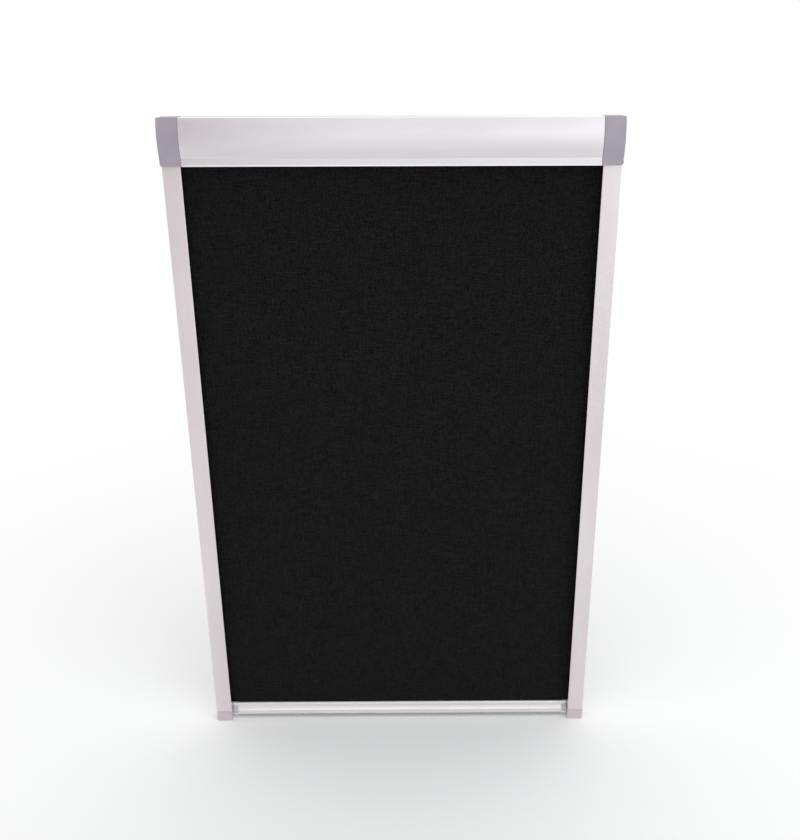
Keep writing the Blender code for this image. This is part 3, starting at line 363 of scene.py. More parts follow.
def make_camera():
    """The photograph's view, as a fixed camera."""
    pitch, yaw, roll = (math.radians(angle) for angle in (CAMERA_PITCH, CAMERA_YAW, CAMERA_ROLL))
    level = Vector((math.sin(yaw), math.cos(yaw), 0.0))
    forward = level * math.cos(pitch) - Vector((0.0, 0.0, math.sin(pitch)))
    flat_right = Vector((math.cos(yaw), -math.sin(yaw), 0.0))
    flat_up = flat_right.cross(forward)
    right = flat_right * math.cos(roll) + flat_up * math.sin(roll)
    up = flat_up * math.cos(roll) - flat_right * math.sin(roll)
    data = bpy.data.cameras.new("camera")
    data.sensor_fit = "VERTICAL"
    data.sensor_width = data.sensor_height = SENSOR
    data.lens = SENSOR * FOCAL_PIXELS / FRAME_PIXELS
    data.shift_x = -SHIFT_PIXELS / FRAME_PIXELS
    camera = linked("camera", data)
    turn = Matrix((right, up, -forward)).transposed().to_4x4()
    camera.matrix_world = Matrix.Translation(CAMERA_PLACE) @ turn
    bpy.context.scene.camera = camera


def straight_rays(tree):
    """1 for a ray from the camera, or one that gloss or glass has turned."""
    path = add(tree, "LightPath")
    found = worked(tree, "MAXIMUM", path["Is Camera Ray"], path["Is Glossy Ray"])
    return worked(tree, "MAXIMUM", found, path["Is Transmission Ray"])


def make_floor():
    """A pale round floor that fades to white far from the blind."""
    bm = bmesh.new()
    bmesh.ops.create_circle(bm, cap_ends=True, segments=FLOOR_SEGMENTS, radius=FLOOR_RADIUS)
    floor = meshed("floor", bm)
    floor.location.z = BASE - FLOOR_DROP
    made, tree = new_material("pale floor")
    skin(tree, {"Base Color": (*FLOOR_COLOUR, 1.0), "Roughness": 0.9, "Specular IOR Level": 0.1})
    away = add(tree, "VectorMath", {0: add(tree, "TexCoord")["Object"]}, operation="LENGTH")["Value"]
    ends = dict(zip(("From Min", "From Max"), FLOOR_FADE))
    fade = add(tree, "MapRange", {"Value": away, **ends}, interpolation_type="SMOOTHSTEP")["Result"]
    share = worked(tree, "MULTIPLY", fade, straight_rays(tree))
    white = add(tree, "Emission")["Emission"]
    pale = tree.nodes["Principled BSDF"].outputs["BSDF"]
    show(tree, add(tree, "MixShader", {"Fac": share, 1: pale, 2: white})["Shader"])
    floor.data.materials.append(made)


def make_world():
    """A plain fill, seen as white by the camera and in gloss."""
    world = bpy.data.worlds.new("studio")
    world.use_nodes = True
    tree = world.node_tree
    level = add(tree, "MapRange", {"Value": straight_rays(tree), "To Min": FILL_STRENGTH})["Result"]
    fill(tree, tree.nodes["Background"], {"Color": (1.0, 1.0, 1.0, 1.0), "Strength": level})
    bpy.context.scene.world = world


def make_lights():
    """Large soft lamps, out of the camera's sight."""
    for name, place, aim, width, height, watts, colour in LIGHTS:
        data = bpy.data.lights.new(name, "AREA")
        data.shape = "RECTANGLE"
        data.size, data.size_y = width, height
        data.energy, data.color = watts, colour
        lamp = linked(name, data)
        lamp.visible_camera = False
        aimed(lamp, place, Vector(aim) - Vector(place), "-Z")


def make_cards():
    """Cards, turned to the blind, that show only in the metal."""
    for name, place, width, height, shade in CARDS:
        bm = bmesh.new()
        bmesh.ops.create_grid(bm, x_segments=1, y_segments=1, size=0.5)
        card = meshed(name, bm)
        card.scale = (width, height, 1.0)
        card.visible_camera = card.visible_diffuse = False
        card.visible_shadow = card.visible_transmission = False
        aimed(card, place, -Vector(place), "Z")
        made, tree = new_material(name)
        tree.nodes.remove(tree.nodes["Principled BSDF"])
        show(tree, add(tree, "Emission", {"Color": (*shade, 1.0)})["Emission"])
        card.data.materials.append(made)


# Materials


def texture(tree, scale, detail, stretch=(1.0, 1.0, 1.0), shift=0.0):
    """Noise over the object's own coordinates, stretched along its axes."""
    place = {"Vector": add(tree, "TexCoord")["Object"], "Scale": stretch, "Location": (shift, shift, shift)}
    moved = add(tree, "Mapping", place)["Vector"]
    return add(tree, "TexNoise", {"Vector": moved, "Scale": scale, "Detail": detail})["Fac"]


def ranged(tree, value, low, high, span=TEXTURE_SPAN):
    """A value moved from a span, at first a texture's, into a range."""
    ends = {"From Min": span[0], "From Max": span[1], "To Min": low, "To Max": high}
    return add(tree, "MapRange", {"Value": value, **ends})["Result"]


def tinted(tree, value, colour, dark, light, span=TEXTURE_SPAN):
    """Colours the surface, darker where a texture is low and lighter where it is high."""
    low, high = ((*(min(part * factor, 1.0) for part in colour), 1.0) for factor in (dark, light))
    share = ranged(tree, value, 0.0, 1.0, span)
    skin(tree, {"Base Color": add(tree, "Mix", {0: share, 6: low, 7: high}, data_type="RGBA")[2]})


def bumped(tree, height, strength, distance, under=None):
    """Relief from a height, over another relief if one is given."""
    relief = {"Height": height, "Strength": strength, "Distance": distance}
    if under is not None:
        relief["Normal"] = under
    normal = add(tree, "Bump", relief)["Normal"]
    skin(tree, {"Normal": normal})
    return normal


def facing_inwards(tree):
    """1 on a face that looks straight at the plane x = 0, 0 on one that doesn't."""
    coords = add(tree, "TexCoord")
    x, normal = (add(tree, "SeparateXYZ", {"Vector": coords[name]})["X"] for name in ("Object", "Normal"))
    outwards = worked(tree, "MULTIPLY", worked(tree, "SIGN", x), normal)
    return ranged(tree, outwards, 0.0, 1.0, FLANK_SPAN)


def extruded_metal(name, colour, along, roughness=0.34, metallic=1.0, flank=None):
    """Satin anodised aluminium, with faint die lines along one axis. flank: the roughness of inner sides."""
    made, tree = new_material(name)
    line_stretch, cloud_stretch = [1.0] * 3, [1.0] * 3
    line_stretch[along], cloud_stretch[along] = 0.006, 0.25
    lines = texture(tree, 1400.0, 3.0, line_stretch)
    clouds = texture(tree, 26.0, 4.0, cloud_stretch, shift=3.1)
    grain = texture(tree, 5200.0, 2.0, shift=7.7)
    tinted(tree, clouds, colour, 0.955, 1.03)
    matt = ranged(tree, lines, roughness - 0.035, roughness + 0.05)
    if flank is not None:
        inner = facing_inwards(tree)
        matt = add(tree, "Mix", {"Factor": inner, "A": matt, "B": flank}, data_type="FLOAT")["Result"]
        metallic = ranged(tree, inner, metallic, 1.0, (0.0, 1.0))
    skin(tree, {"Roughness": matt, "Metallic": metallic})
    bumped(tree, grain, 0.12, 0.000008, bumped(tree, lines, 0.22, 0.00001))
    return made


def moulded_plastic(name, colour, roughness=0.46):
    """Moulded plastic with a fine spark-eroded skin."""
    made, tree = new_material(name)
    grain = texture(tree, 2600.0, 3.0)
    tinted(tree, texture(tree, 38.0, 3.0, shift=1.7), colour, 0.95, 1.05)
    matt = ranged(tree, grain, roughness - 0.06, roughness + 0.07)
    skin(tree, {"Specular IOR Level": 0.4, "Roughness": matt})
    bumped(tree, grain, 0.35, 0.00004)
    return made


def plain_metal(name, colour, roughness, speckle):
    """Plated or oiled steel, with a fine mottle."""
    made, tree = new_material(name)
    mottle = texture(tree, speckle, 4.0)
    tinted(tree, mottle, colour, 0.82, 1.12)
    matt = ranged(tree, mottle, roughness - 0.08, roughness + 0.1)
    skin(tree, {"Metallic": 1.0, "Roughness": matt})
    bumped(tree, mottle, 0.15, 0.00002)
    return made


def woven_cloth(name, colour):
    """Black blackout cloth: a fine plain weave with slightly uneven yarns."""
    made, tree = new_material(name)
    skin(tree, {"Roughness": 0.92, "Specular IOR Level": 0.08, "Sheen Weight": 0.02, "Sheen Roughness": 0.5})
    place = add(tree, "SeparateXYZ", {"Vector": add(tree, "TexCoord")["Object"]})
    turns = [worked(tree, "MULTIPLY", place[axis], math.pi / WEAVE_PITCH) for axis in "XZ"]
    weave = worked(tree, "MULTIPLY", *(worked(tree, "SINE", turn) for turn in turns))
    warp = texture(tree, 900.0, 2.0, (1.0, 1.0, 0.05))
    weft = texture(tree, 900.0, 2.0, (0.05, 1.0, 1.0), shift=5.3)
    yarn = worked(tree, "ADD", warp, weft)
    fleck = worked(tree, "MULTIPLY_ADD", yarn, 0.5, texture(tree, 620.0, 2.0, shift=2.2))
    tinted(tree, fleck, colour, 0.2, 2.1, FLECK_SPAN)
    bumped(tree, yarn, 0.35, 0.00005, bumped(tree, weave, 0.5, 0.00006))
    return made


def soft_pile(name, colour):
    """Dense short pile."""
    made, tree = new_material(name)
    fibres = texture(tree, 3200.0, 3.0)
    tinted(tree, fibres, colour, 0.5, 1.5)
    skin(tree, {"Roughness": 0.95, "Specular IOR Level": 0.1, "Sheen Weight": 0.25})
    bumped(tree, fibres, 0.8, 0.0003)
    return made


def soft_rubber(name, colour):
    """Matt extruded rubber."""
    made, tree = new_material(name)
    bloom = texture(tree, 340.0, 4.0)
    tinted(tree, bloom, colour, 0.7, 1.5)
    skin(tree, {"Specular IOR Level": 0.3, "Roughness": ranged(tree, bloom, 0.62, 0.8)})
    bumped(tree, bloom, 0.2, 0.00005)
    return made


# Shapes


def polar(centre, radius, angle):
    """The point at an angle round a centre."""
    return (centre[0] + radius * math.cos(angle), centre[1] + radius * math.sin(angle))


def arc_through(first, middle, last, steps):
    """Points along the arc through three points, with both ends."""
    (ax, ay), (bx, by), (cx, cy) = first, middle, last
    d = 2 * (ax * (by - cy) + bx * (cy - ay) + cx * (ay - by))
    a2, b2, c2 = ax**2 + ay**2, bx**2 + by**2, cx**2 + cy**2
    ux = (a2 * (by - cy) + b2 * (cy - ay) + c2 * (ay - by)) / d
    uy = (a2 * (cx - bx) + b2 * (ax - cx) + c2 * (bx - ax)) / d
    radius = math.hypot(ax - ux, ay - uy)
    start = math.atan2(ay - uy, ax - ux)
    sweep = (math.atan2(cy - uy, cx - ux) - start + math.pi) % (2 * math.pi) - math.pi
    return [polar((ux, uy), radius, start + sweep * k / steps) for k in range(steps + 1)]


def rounded(corners, steps=ARC_STEPS):
    """An outline through corners (a, b, radius), each with a radius replaced by an arc."""
    outline = []
    for i, (a, b, radius) in enumerate(corners):
        if not radius:
            outline.append((a, b))
            continue
        here = Vector((a, b))
        back = (Vector(corners[i - 1][:2]) - here).normalized()
        ahead = (Vector(corners[(i + 1) % len(corners)][:2]) - here).normalized()
        half = back.angle(ahead) / 2
        reach = radius / math.tan(half)
        centre = here + (back + ahead).normalized() * (radius / math.sin(half))
        middle = centre + (here - centre).normalized() * radius
        outline += arc_through(here + back * reach, middle, here + ahead * reach, steps)
    return outline


def offset_line(points, distance, closed):
    """The line moved to its left by a distance, with mitred corners."""
    moved = []
    for i, point in enumerate(points):
        here = Vector(point)
        sides = []
        if closed or i:
            sides.append((here - Vector(points[i - 1])).normalized())
        if closed or i < len(points) - 1:
            sides.append((Vector(points[(i + 1) % len(points)]) - here).normalized())
        normals = [Vector((-side.y, side.x)) for side in sides]
        mean = sum(normals, Vector((0.0, 0.0))).normalized()
        moved.append(tuple(here + mean * (distance / mean.dot(normals[0]))))
    return moved


def drawn_in(outline, distance):
    """A closed outline moved inwards by a distance."""
    ahead = outline[1:] + outline[:1]
    area = sum(a[0] * b[1] - b[0] * a[1] for a, b in zip(outline, ahead))
    return offset_line(outline, math.copysign(distance, area), closed=True)


def along_x(outline, x):
    """An outline of (y, z) points set at x."""
    return [(x, y, z) for y, z in outline]


def along_z(outline, z):
    """An outline of (x, y) points set at z."""
    return [(x, y, z) for x, y in outline]


def circle(radius, centre=(0.0, 0.0), steps=ROUND_STEPS):
    """Points round a circle."""
    return [polar(centre, radius, 2 * math.pi * k / steps) for k in range(steps)]


def with_radius(points, radius):
    """Corners for rounded, all of one radius."""
    return [(*point, radius) for point in points]


def unit(axis):
    """The unit vector along an axis."""
    return Vector([float(axis == k) for k in range(3)])


def mirrored(side, distances):
    """Distances from the middle, on one side of it."""
    return tuple(side * distance for distance in distances)


def eased_rings(outline, span, place, ease=CUT_EASE):
    """Rings of an outline along a span, drawn in a little at both ends."""
    low, high = span
    ease_in = math.copysign(ease, high - low)
    inner = drawn_in(outline, ease)
    stops = ((inner, low), (outline, low + ease_in), (outline, high - ease_in), (inner, high))
    return [place(ring, stop) for ring, stop in stops]


def band(bm, lower, upper, open_ends=0):
    """Faces between two rows of points, which close to rings unless their ends are open."""
    for i in range(len(lower) - open_ends):
        j = (i + 1) % len(lower)
        bm.faces.new((lower[i], lower[j], upper[j], upper[i]))


def lofted(rings):
    """A closed bmesh through rings of as many points each."""
    bm = bmesh.new()
    loops = [[bm.verts.new(point) for point in ring] for ring in rings]
    for lower, upper in zip(loops, loops[1:]):
        band(bm, lower, upper)
    bm.faces.new(loops[0])
    bm.faces.new(loops[-1])
    return bm


def placed(name, bm):
    """An object from a bmesh, with its faces turned outwards."""
    bmesh.ops.recalc_face_normals(bm, faces=bm.faces)
    return meshed(name, bm)


def extruded(name, outline, x_range, ease=0.0):
    """A piece of one section along X, drawn in a little at both ends if asked."""
    rings = eased_rings(outline, x_range, along_x, ease) if ease else [along_x(outline, x) for x in x_range]
    return placed(name, lofted(rings))


def carved(target, operation, *helpers):
    """Cuts the helpers out of the target, or joins them on, and removes them."""
    for helper in helpers:
        change = target.modifiers.new(helper.name, "BOOLEAN")
        change.operation = operation
        change.solver = "EXACT"
        change.object = helper
    graph = bpy.context.evaluated_depsgraph_get()
    changed = bpy.data.meshes.new_from_object(target.evaluated_get(graph))
    changed.name = target.name
    target.modifiers.clear()
    target.data = changed
    for helper in helpers:
        bpy.data.objects.remove(helper)


def finished(target, body, node, material):
    """Shades a piece, gives it its material, hangs it on the body it rides on and hides the model part it
    stands for.
    """
    target.data.materials.clear()
    target.data.materials.append(material)
    target.data.shade_smooth()
    target.data.set_sharp_from_angle(angle=SHARP_ANGLE)
    if len(target.data.polygons) < MOST_WEIGHTED:
        target.modifiers.new("flats stay flat", "WEIGHTED_NORMAL").keep_sharp = True
    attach(target, body)
    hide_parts(node)


def rod(name, x_range, radius, centre):
    """A round rod along X."""
    return extruded(name, circle(radius, centre), x_range)


def block(name, x_range, y_range, z_range, ease=0.0):
    """A rectangular block, with rounded edges if asked."""
    (y0, y1), (z0, z1) = y_range, z_range
    outline = [(y0, z0), (y1, z0), (y1, z1), (y0, z1)]
    bm = lofted([along_x(outline, x) for x in x_range])
    if ease:
        bmesh.ops.recalc_face_normals(bm, faces=bm.faces)
        bmesh.ops.bevel(bm, geom=list(bm.edges), offset=ease, segments=3, profile=0.5, affect="EDGES")
    return placed(name, bm)


# Headbox


def headbox_path(start_y, end_y, top_radius=0.0, lip_radius=0.0, step=LIP_STEP_HEIGHT, bead=False):
    """The headbox's outer side in (y, z), from its top round the bulge and the lip to its underside."""
    top_y = -(DEPTH - TOP_SETBACK)
    lip_y = -(DEPTH - LIP_SETBACK)
    apex = (-DEPTH, TOP - APEX_BELOW_TOP)
    crease = (-(DEPTH - CREASE_SETBACK), FOOT + LIP_HEIGHT)
    bulge = arc_through((top_y, TOP), apex, crease, BULGE_STEPS)
    below_top = bulge[BULGE_STEPS_IN_CORNER:]
    top = rounded([(start_y, TOP, 0.0), (*bulge[0], top_radius), (*below_top[0], 0.0)])
    lip_top = (lip_y, crease[1] - step, 0.0)
    corners = [(lip_y, FOOT, lip_radius)]
    if bead:
        bead_y, bead_top = lip_y - LIP_BEAD_PROUD, FOOT + LIP_BEAD_HEIGHT
        corners = [
            (lip_y, bead_top + LIP_BEAD_PROUD, LIP_BEAD_RADIUS),
            (bead_y, bead_top, LIP_BEAD_RADIUS),
            (bead_y, FOOT, LIP_BEAD_RADIUS),
        ]
    foot = rounded([lip_top, *corners, (end_y, FOOT, 0.0)])
    return top[:-1] + below_top + foot


def make_cover(metal):
    """The front extrusion, with its bulged face, crease and lip."""
    span = (-(SHELL_WALL + GAP), CLOTH_Y - SLOT_FRONT_GAP)
    outside = headbox_path(*span, TOP_CORNER_RADIUS, bead=True)
    inside = offset_line(headbox_path(*span), SHELL_WALL, closed=False)
    cover = extruded("front_cover", outside + inside[::-1], (-SHELL_END, SHELL_END), CUT_EASE)
    add_screw_port(cover, FRONT_PORT)
    finished(cover, "frame", "headbox_cover", metal)


def make_back(metal):
    """The rear extrusion, with its flat back, top flange and foot."""
    foot_y = CLOTH_Y + SLOT_BACK_GAP
    flange_z = TOP - SHELL_WALL - GAP
    flange_foot, foot_top = flange_z - SHELL_WALL, FOOT + SHELL_WALL
    corners = [
        (0.0, TOP), (0.0, FOOT), (foot_y, FOOT), (foot_y, foot_top), (-SHELL_WALL, foot_top),
        (-SHELL_WALL, flange_foot), (-BACK_FLANGE_REACH, flange_foot), (-BACK_FLANGE_REACH, flange_z),
        (-SHELL_WALL, flange_z), (-SHELL_WALL, TOP),
    ]
    corners = with_radius(corners, RAIL_INNER_RADIUS)
    corners[-2] = (-SHELL_WALL, flange_z, 0.0)
    back = extruded("rear_cover", rounded(corners, steps=3), (-SHELL_END, SHELL_END), CUT_EASE)
    add_screw_port(back, BACK_PORT)
    finished(back, "frame", "headbox_back", metal)


def add_screw_port(shell, place):
    """The round rib with a bore for the end caps' screws."""
    inside = SHELL_END - CUT_EASE
    beyond = SHELL_END + GAP
    carved(shell, "UNION", rod("port rib", (-inside, inside), PORT_RADIUS, place))
    carved(shell, "DIFFERENCE", rod("port bore", (-beyond, beyond), SCREW_BORE, place))


def fall(radius, inset):
    """How far a quarter round of a radius has dropped away at an inset from its end."""
    if inset >= radius:
        return 0.0
    return radius - math.sqrt(radius**2 - (radius - inset) ** 2)


def cap_ring(outline, side, inset):
    """The end cap's outline at an inset from its outer end, with the foot and the edges rounded."""
    floor = FOOT + fall(CAP_FOOT_RADIUS, inset)
    lifted = [(y, max(z, floor)) for y, z in outline]
    return along_x(drawn_in(lifted, fall(CAP_EDGE, inset)), side * (HALF_WIDTH - inset))


def make_end_cap(side_name, side, plastic):
    """A hollow moulded cap: rounded outer end, bearing boss, screw bosses and a spigot for the rail."""
    shell = headbox_path(0.0, 0.0, TOP_CORNER_RADIUS, LIP_CORNER_RADIUS, CAP_STEP_HEIGHT)
    grown = offset_line(shell, -CAP_PROUD, closed=True)
    outline = [(min(y, 0.0), max(min(z, TOP), FOOT)) for y, z in grown]
    insets = [CAP_FOOT_RADIUS * math.cos(math.pi / 2 * k / FOOT_STEPS) ** 2 for k in range(FOOT_STEPS)]
    insets = [inset for inset in insets if inset > CAP_EDGE]
    insets += [CAP_EDGE * (1 - k / RIM_STEPS) ** 2 for k in range(RIM_STEPS + 1)]
    rings = [along_x(drawn_in(outline, MOULD_EASE / 2), side * CAP_INNER)]
    rings.append(along_x(outline, side * (CAP_INNER + MOULD_EASE / 2)))
    rings += [cap_ring(outline, side, inset) for inset in insets]
    cap = placed(side_name + "_headbox_cap", lofted(rings))

    hollow = offset_line(headbox_path(0.0, 0.0), CAP_WALL, closed=True)
    hollow = [(y, min(z, TOP - CAP_WALL)) for y, z in hollow]
    plate = HALF_WIDTH - CAP_PLATE
    hollow = extruded("hollow", hollow, mirrored(side, (CAP_INNER - GAP, plate)))
    slot = block(
        "cloth slot",
        mirrored(side, (CAP_INNER - GAP, WEB_INNER - SPIGOT_THICKNESS - 2 * GAP)),
        (CLOTH_Y - SLOT_FRONT_GAP, CLOTH_Y + SLOT_BACK_GAP),
        (FOOT - GAP, FOOT + CAP_WALL + GAP),
    )
    carved(cap, "DIFFERENCE", hollow, slot)

    sunk = plate + CAP_PLATE / 2
    boss_radius = BEARING_RADIUS + GAP + BEARING_BOSS_WALL
    tube = (CAP_INNER + MOULD_EASE, sunk)
    carved(
        cap,
        "UNION",
        rod("bearing boss", mirrored(side, (BOSS_FACE, sunk)), boss_radius, AXIS),
        rod("upper boss", mirrored(side, tube), SCREW_BORE + BOSS_WALL, BACK_PORT),
        rod("lower boss", mirrored(side, tube), SCREW_BORE + BOSS_WALL, FRONT_PORT),
        make_spigot("spigot", side, (rail_high.z + GAP - SPIGOT_LENGTH, FOOT + CAP_WALL / 2)),
    )
    seat = mirrored(side, (BOSS_FACE - GAP, BOSS_FACE + BEARING_LENGTH + GAP / 2))
    cutters = [rod("bearing seat", seat, BEARING_RADIUS + GAP, AXIS)]
    sink = SCREW_HEAD_RADIUS + SCREW_PLAY
    steps = (
        (HALF_WIDTH - SCREW_HEAD_THICKNESS - 2 * GAP, sink),
        (HALF_WIDTH - GAP, sink),
        (HALF_WIDTH + GAP, sink + 2 * GAP),
    )
    for place in (BACK_PORT, FRONT_PORT):
        cutters.append(rod("bore", mirrored(side, (CAP_INNER - GAP, HALF_WIDTH + GAP)), SCREW_BORE, place))
        rings = [along_x(circle(radius, place), side * x) for x, radius in steps]
        cutters.append(placed("counterbore", lofted(rings)))
    carved(cap, "DIFFERENCE", *cutters)
    finished(cap, "frame", side_name + "_end_cap", plastic)


def make_spigot(name, side, z_range):
    """The plug that goes into a rail's end."""
    y_reach = RAIL_WALL + SPIGOT_SIDE_GAP
    x_range = mirrored(side, (WEB_INNER - GAP - SPIGOT_THICKNESS, WEB_INNER - GAP))
    return block(name, x_range, (y_reach - RAIL_DEPTH, -y_reach), z_range, ease=MOULD_EASE)


def thread_radius(x, turn):
    """A thread's radius at a distance along the screw and a turn round it."""
    phase = (x / SCREW_THREAD_PITCH + turn) % 1.0
    return SCREW_RADIUS * (THREAD_ROOT + (1 - THREAD_ROOT) * (1 - abs(2 * phase - 1)))


def make_cap_screw(name, side, place, steel):
    """A self-tapping screw with a low domed head and a cross recess."""
    head_face = HALF_WIDTH - GAP
    head_foot = head_face - SCREW_HEAD_THICKNESS
    length = head_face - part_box(name)[0].x if side > 0 else head_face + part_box(name)[1].x
    steps = round(THREAD_LENGTH / SCREW_THREAD_PITCH * THREAD_STEPS)
    rings = []
    for k in range(steps + 1):
        along = THREAD_LENGTH * k / steps
        taper = min(TIP_SHARE + (1 - TIP_SHARE) * along / (3 * SCREW_RADIUS), 1.0)
        ring = []
        for i in range(ROUND_STEPS):
            radius = taper * thread_radius(along, side * i / ROUND_STEPS)
            ring.append(polar(place, radius, 2 * math.pi * i / ROUND_STEPS))
        rings.append(along_x(ring, side * (head_face - length + along)))
    dome = [
        (head_face - length + THREAD_LENGTH + SCREW_RADIUS / 2, SHANK_RADIUS),
        (head_foot, SHANK_RADIUS),
        (head_foot, SCREW_HEAD_RADIUS - SCREW_HEAD_EASE),
        (head_foot + SCREW_HEAD_EASE, SCREW_HEAD_RADIUS),
    ]
    rise = SCREW_HEAD_THICKNESS - 2 * SCREW_HEAD_EASE
    for k in range(DOME_STEPS):
        turn = math.pi / 2 * k / DOME_STEPS
        share = DOME_SHARE + (1 - DOME_SHARE) * math.cos(turn)
        dome.append((head_face - rise * (1 - math.sin(turn)), SCREW_HEAD_RADIUS * share))
    rings += [along_x(circle(radius, place), side * x) for x, radius in dome]
    screw = placed("head_of_" + name, lofted(rings))
    recess = mirrored(side, (head_face - RECESS_DEPTH, head_face + GAP))
    for long_y, long_z in ((RECESS_REACH, RECESS_HALF), (RECESS_HALF, RECESS_REACH)):
        y_range = (place[0] - long_y, place[0] + long_y)
        z_range = (place[1] - long_z, place[1] + long_z)
        carved(screw, "DIFFERENCE", block("blade", recess, y_range, z_range))
    finished(screw, "frame", name, steel)


# Cloth


def make_cloth(cloth):
    """The free cloth between the rails, drawn tight with hardly any ripple."""
    half, top, foot = cloth_high.x, cloth_high.z, BAR_TOP + GAP
    columns, rows = CLOTH_CELLS
    bm = bmesh.new()
    rims = []
    for side in (-0.5, 0.5):
        grid = []
        for j in range(rows + 1):
            down = j / rows
            z = top + (foot - top) * down
            line = []
            for i in range(columns + 1):
                x = half * (2 * i / columns - 1)
                across = math.cos(math.pi * x / (2 * half))
                wave = math.sin(23 * x + 5 * down) + 0.6 * math.sin(41 * x - 9 * z + 1.3)
                ripple = CLOTH_RIPPLE * across * math.sin(math.pi * down) * wave
                line.append(bm.verts.new((x, CLOTH_Y + side * CLOTH_THICKNESS + ripple, z)))
            grid.append(line)
        for upper, lower in zip(grid, grid[1:]):
            band(bm, upper, lower, open_ends=1)
        rims.append(rim_of(grid))
    band(bm, *rims)
    sheet = placed("cloth", bm)
    finished(sheet, "frame", "fabric", cloth)

    hem_low, hem_high = BAR_TOP - BAR_SLIT_DEPTH + GAP, foot
    hem_half = BAR_END - GAP
    y_range = (CLOTH_Y - CLOTH_THICKNESS / 2, CLOTH_Y + CLOTH_THICKNESS / 2)
    hem = block("cloth_hem", (-hem_half, hem_half), y_range, (hem_low, hem_high))
    finished(hem, "bar", "fabric", cloth)

    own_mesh(sheet)


def rim_of(grid):
    """The points round the edge of a grid of points."""
    down = [line[-1] for line in grid[1:-1]]
    back = [line[0] for line in grid[-2:0:-1]]
    return grid[0] + down + grid[-1][::-1] + back


def make_roll(cloth):
    """The turns of cloth that stay on the roller, as one spiral sheet."""
    steps = round(ROLL_TURNS * ROLL_STEPS_PER_TURN)
    inner, outer = [], []
    for k in range(steps + 1):
        turn = 2 * math.pi * ROLL_TURNS * k / steps
        radius = ROLL_RADIUS - ROLL_PITCH * turn / (2 * math.pi)
        for line, side in ((inner, -0.5), (outer, 0.5)):
            line.append(polar(AXIS, radius + side * CLOTH_THICKNESS, turn))
    roll = extruded("wound_cloth", outer + inner[::-1], (-cloth_high.x, cloth_high.x))
    finished(roll, "roller", "fabric_roll", cloth)


# Rails


def rail_outline(side):
    """The rail's section in (x, y): outer web, two flanges, and the two lips beside the cloth's slot."""
    front_in, back_in = RAIL_WALL - RAIL_DEPTH, -RAIL_WALL
    slot_front, slot_back = CLOTH_Y - RAIL_SLOT_HALF, CLOTH_Y + RAIL_SLOT_HALF
    lip_x, back_x = RAIL_INNER + RAIL_WALL, RAIL_INNER + RAIL_BACK_SHORTER
    shelf = front_pile_low.y - GAP
    rib = front_pile_high.x + GAP
    past = rib + RIB_WIDTH
    inside = [
        (back_x, slot_back), (lip_x, slot_back), (lip_x, back_in),
        (rib, back_in), (rib, back_in - RIB_HEIGHT), (past, back_in - RIB_HEIGHT), (past, back_in),
        (WEB_INNER, back_in), (WEB_INNER, front_in), (lip_x, front_in), (lip_x, shelf - RAIL_WALL),
        (past, shelf - RAIL_WALL), (past, shelf + RIB_HEIGHT), (rib, shelf + RIB_HEIGHT), (rib, shelf),
        (lip_x, shelf), (lip_x, slot_front), (RAIL_INNER, slot_front),
    ]
    corners = [
        *with_radius([(HALF_WIDTH, 0.0), (back_x, 0.0)], RAIL_EDGE_RADIUS),
        *with_radius(inside, RAIL_INNER_RADIUS),
        (RAIL_INNER, -RAIL_DEPTH, RAIL_LIP_RADIUS),
        (HALF_WIDTH, -RAIL_DEPTH, RAIL_EDGE_RADIUS),
    ]
    return [(side * x, y) for x, y in rounded(corners, steps=4)]


def make_rail(side_name, side, metal):
    """One side rail, drilled through its web for the screws that hold it."""
    low, high = rail_low.z, rail_high.z
    rail = placed(side_name + "_side_rail", lofted(eased_rings(rail_outline(side), (low, high), along_z)))
    hole_x = mirrored(side, (WEB_INNER - GAP, HALF_WIDTH + GAP))
    spacing = (high - low - 2 * RAIL_HOLE_INSET) / (RAIL_HOLES - 1)
    places = [(-RAIL_DEPTH / 2, high - RAIL_HOLE_INSET - spacing * number) for number in range(RAIL_HOLES)]
    carved(rail, "DIFFERENCE", *[rod("hole", hole_x, RAIL_HOLE_RADIUS, place) for place in places])
    finished(rail, "frame", side_name + "_rail", metal)


def make_pile(node, name, along, tip, pile, seed):
    """A strip of short pile on a backing, with a ragged tip. along and tip are axes, tip with its sign."""
    chance = random.Random(seed)
    low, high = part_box(node)
    tip_axis, sign = tip
    wide = 3 - along - tip_axis
    root, end = (low, high) if sign > 0 else (high, low)
    rings = []
    count = round((high[along] - low[along]) / PILE_STEP)
    for k in range(count + 1):
        ring = []
        for across, reach in PILE_SECTION:
            point = [0.0, 0.0, 0.0]
            point[along] = low[along] + (high[along] - low[along]) * k / count
            side_in = 0.0 if reach == 0.0 else chance.uniform(0.0, PILE_RAGGED / 2)
            inward = side_in if across < 0.5 else -side_in
            point[wide] = low[wide] + (high[wide] - low[wide]) * across + inward
            if reach is None:
                point[tip_axis] = root[tip_axis] + sign * PILE_BACKING
            elif reach:
                point[tip_axis] = end[tip_axis] - sign * chance.uniform(0.0, PILE_RAGGED)
            else:
                point[tip_axis] = root[tip_axis]
            ring.append(tuple(point))
        rings.append(ring)
    strip = placed(name, lofted(rings))
    finished(strip, "frame", node, pile)


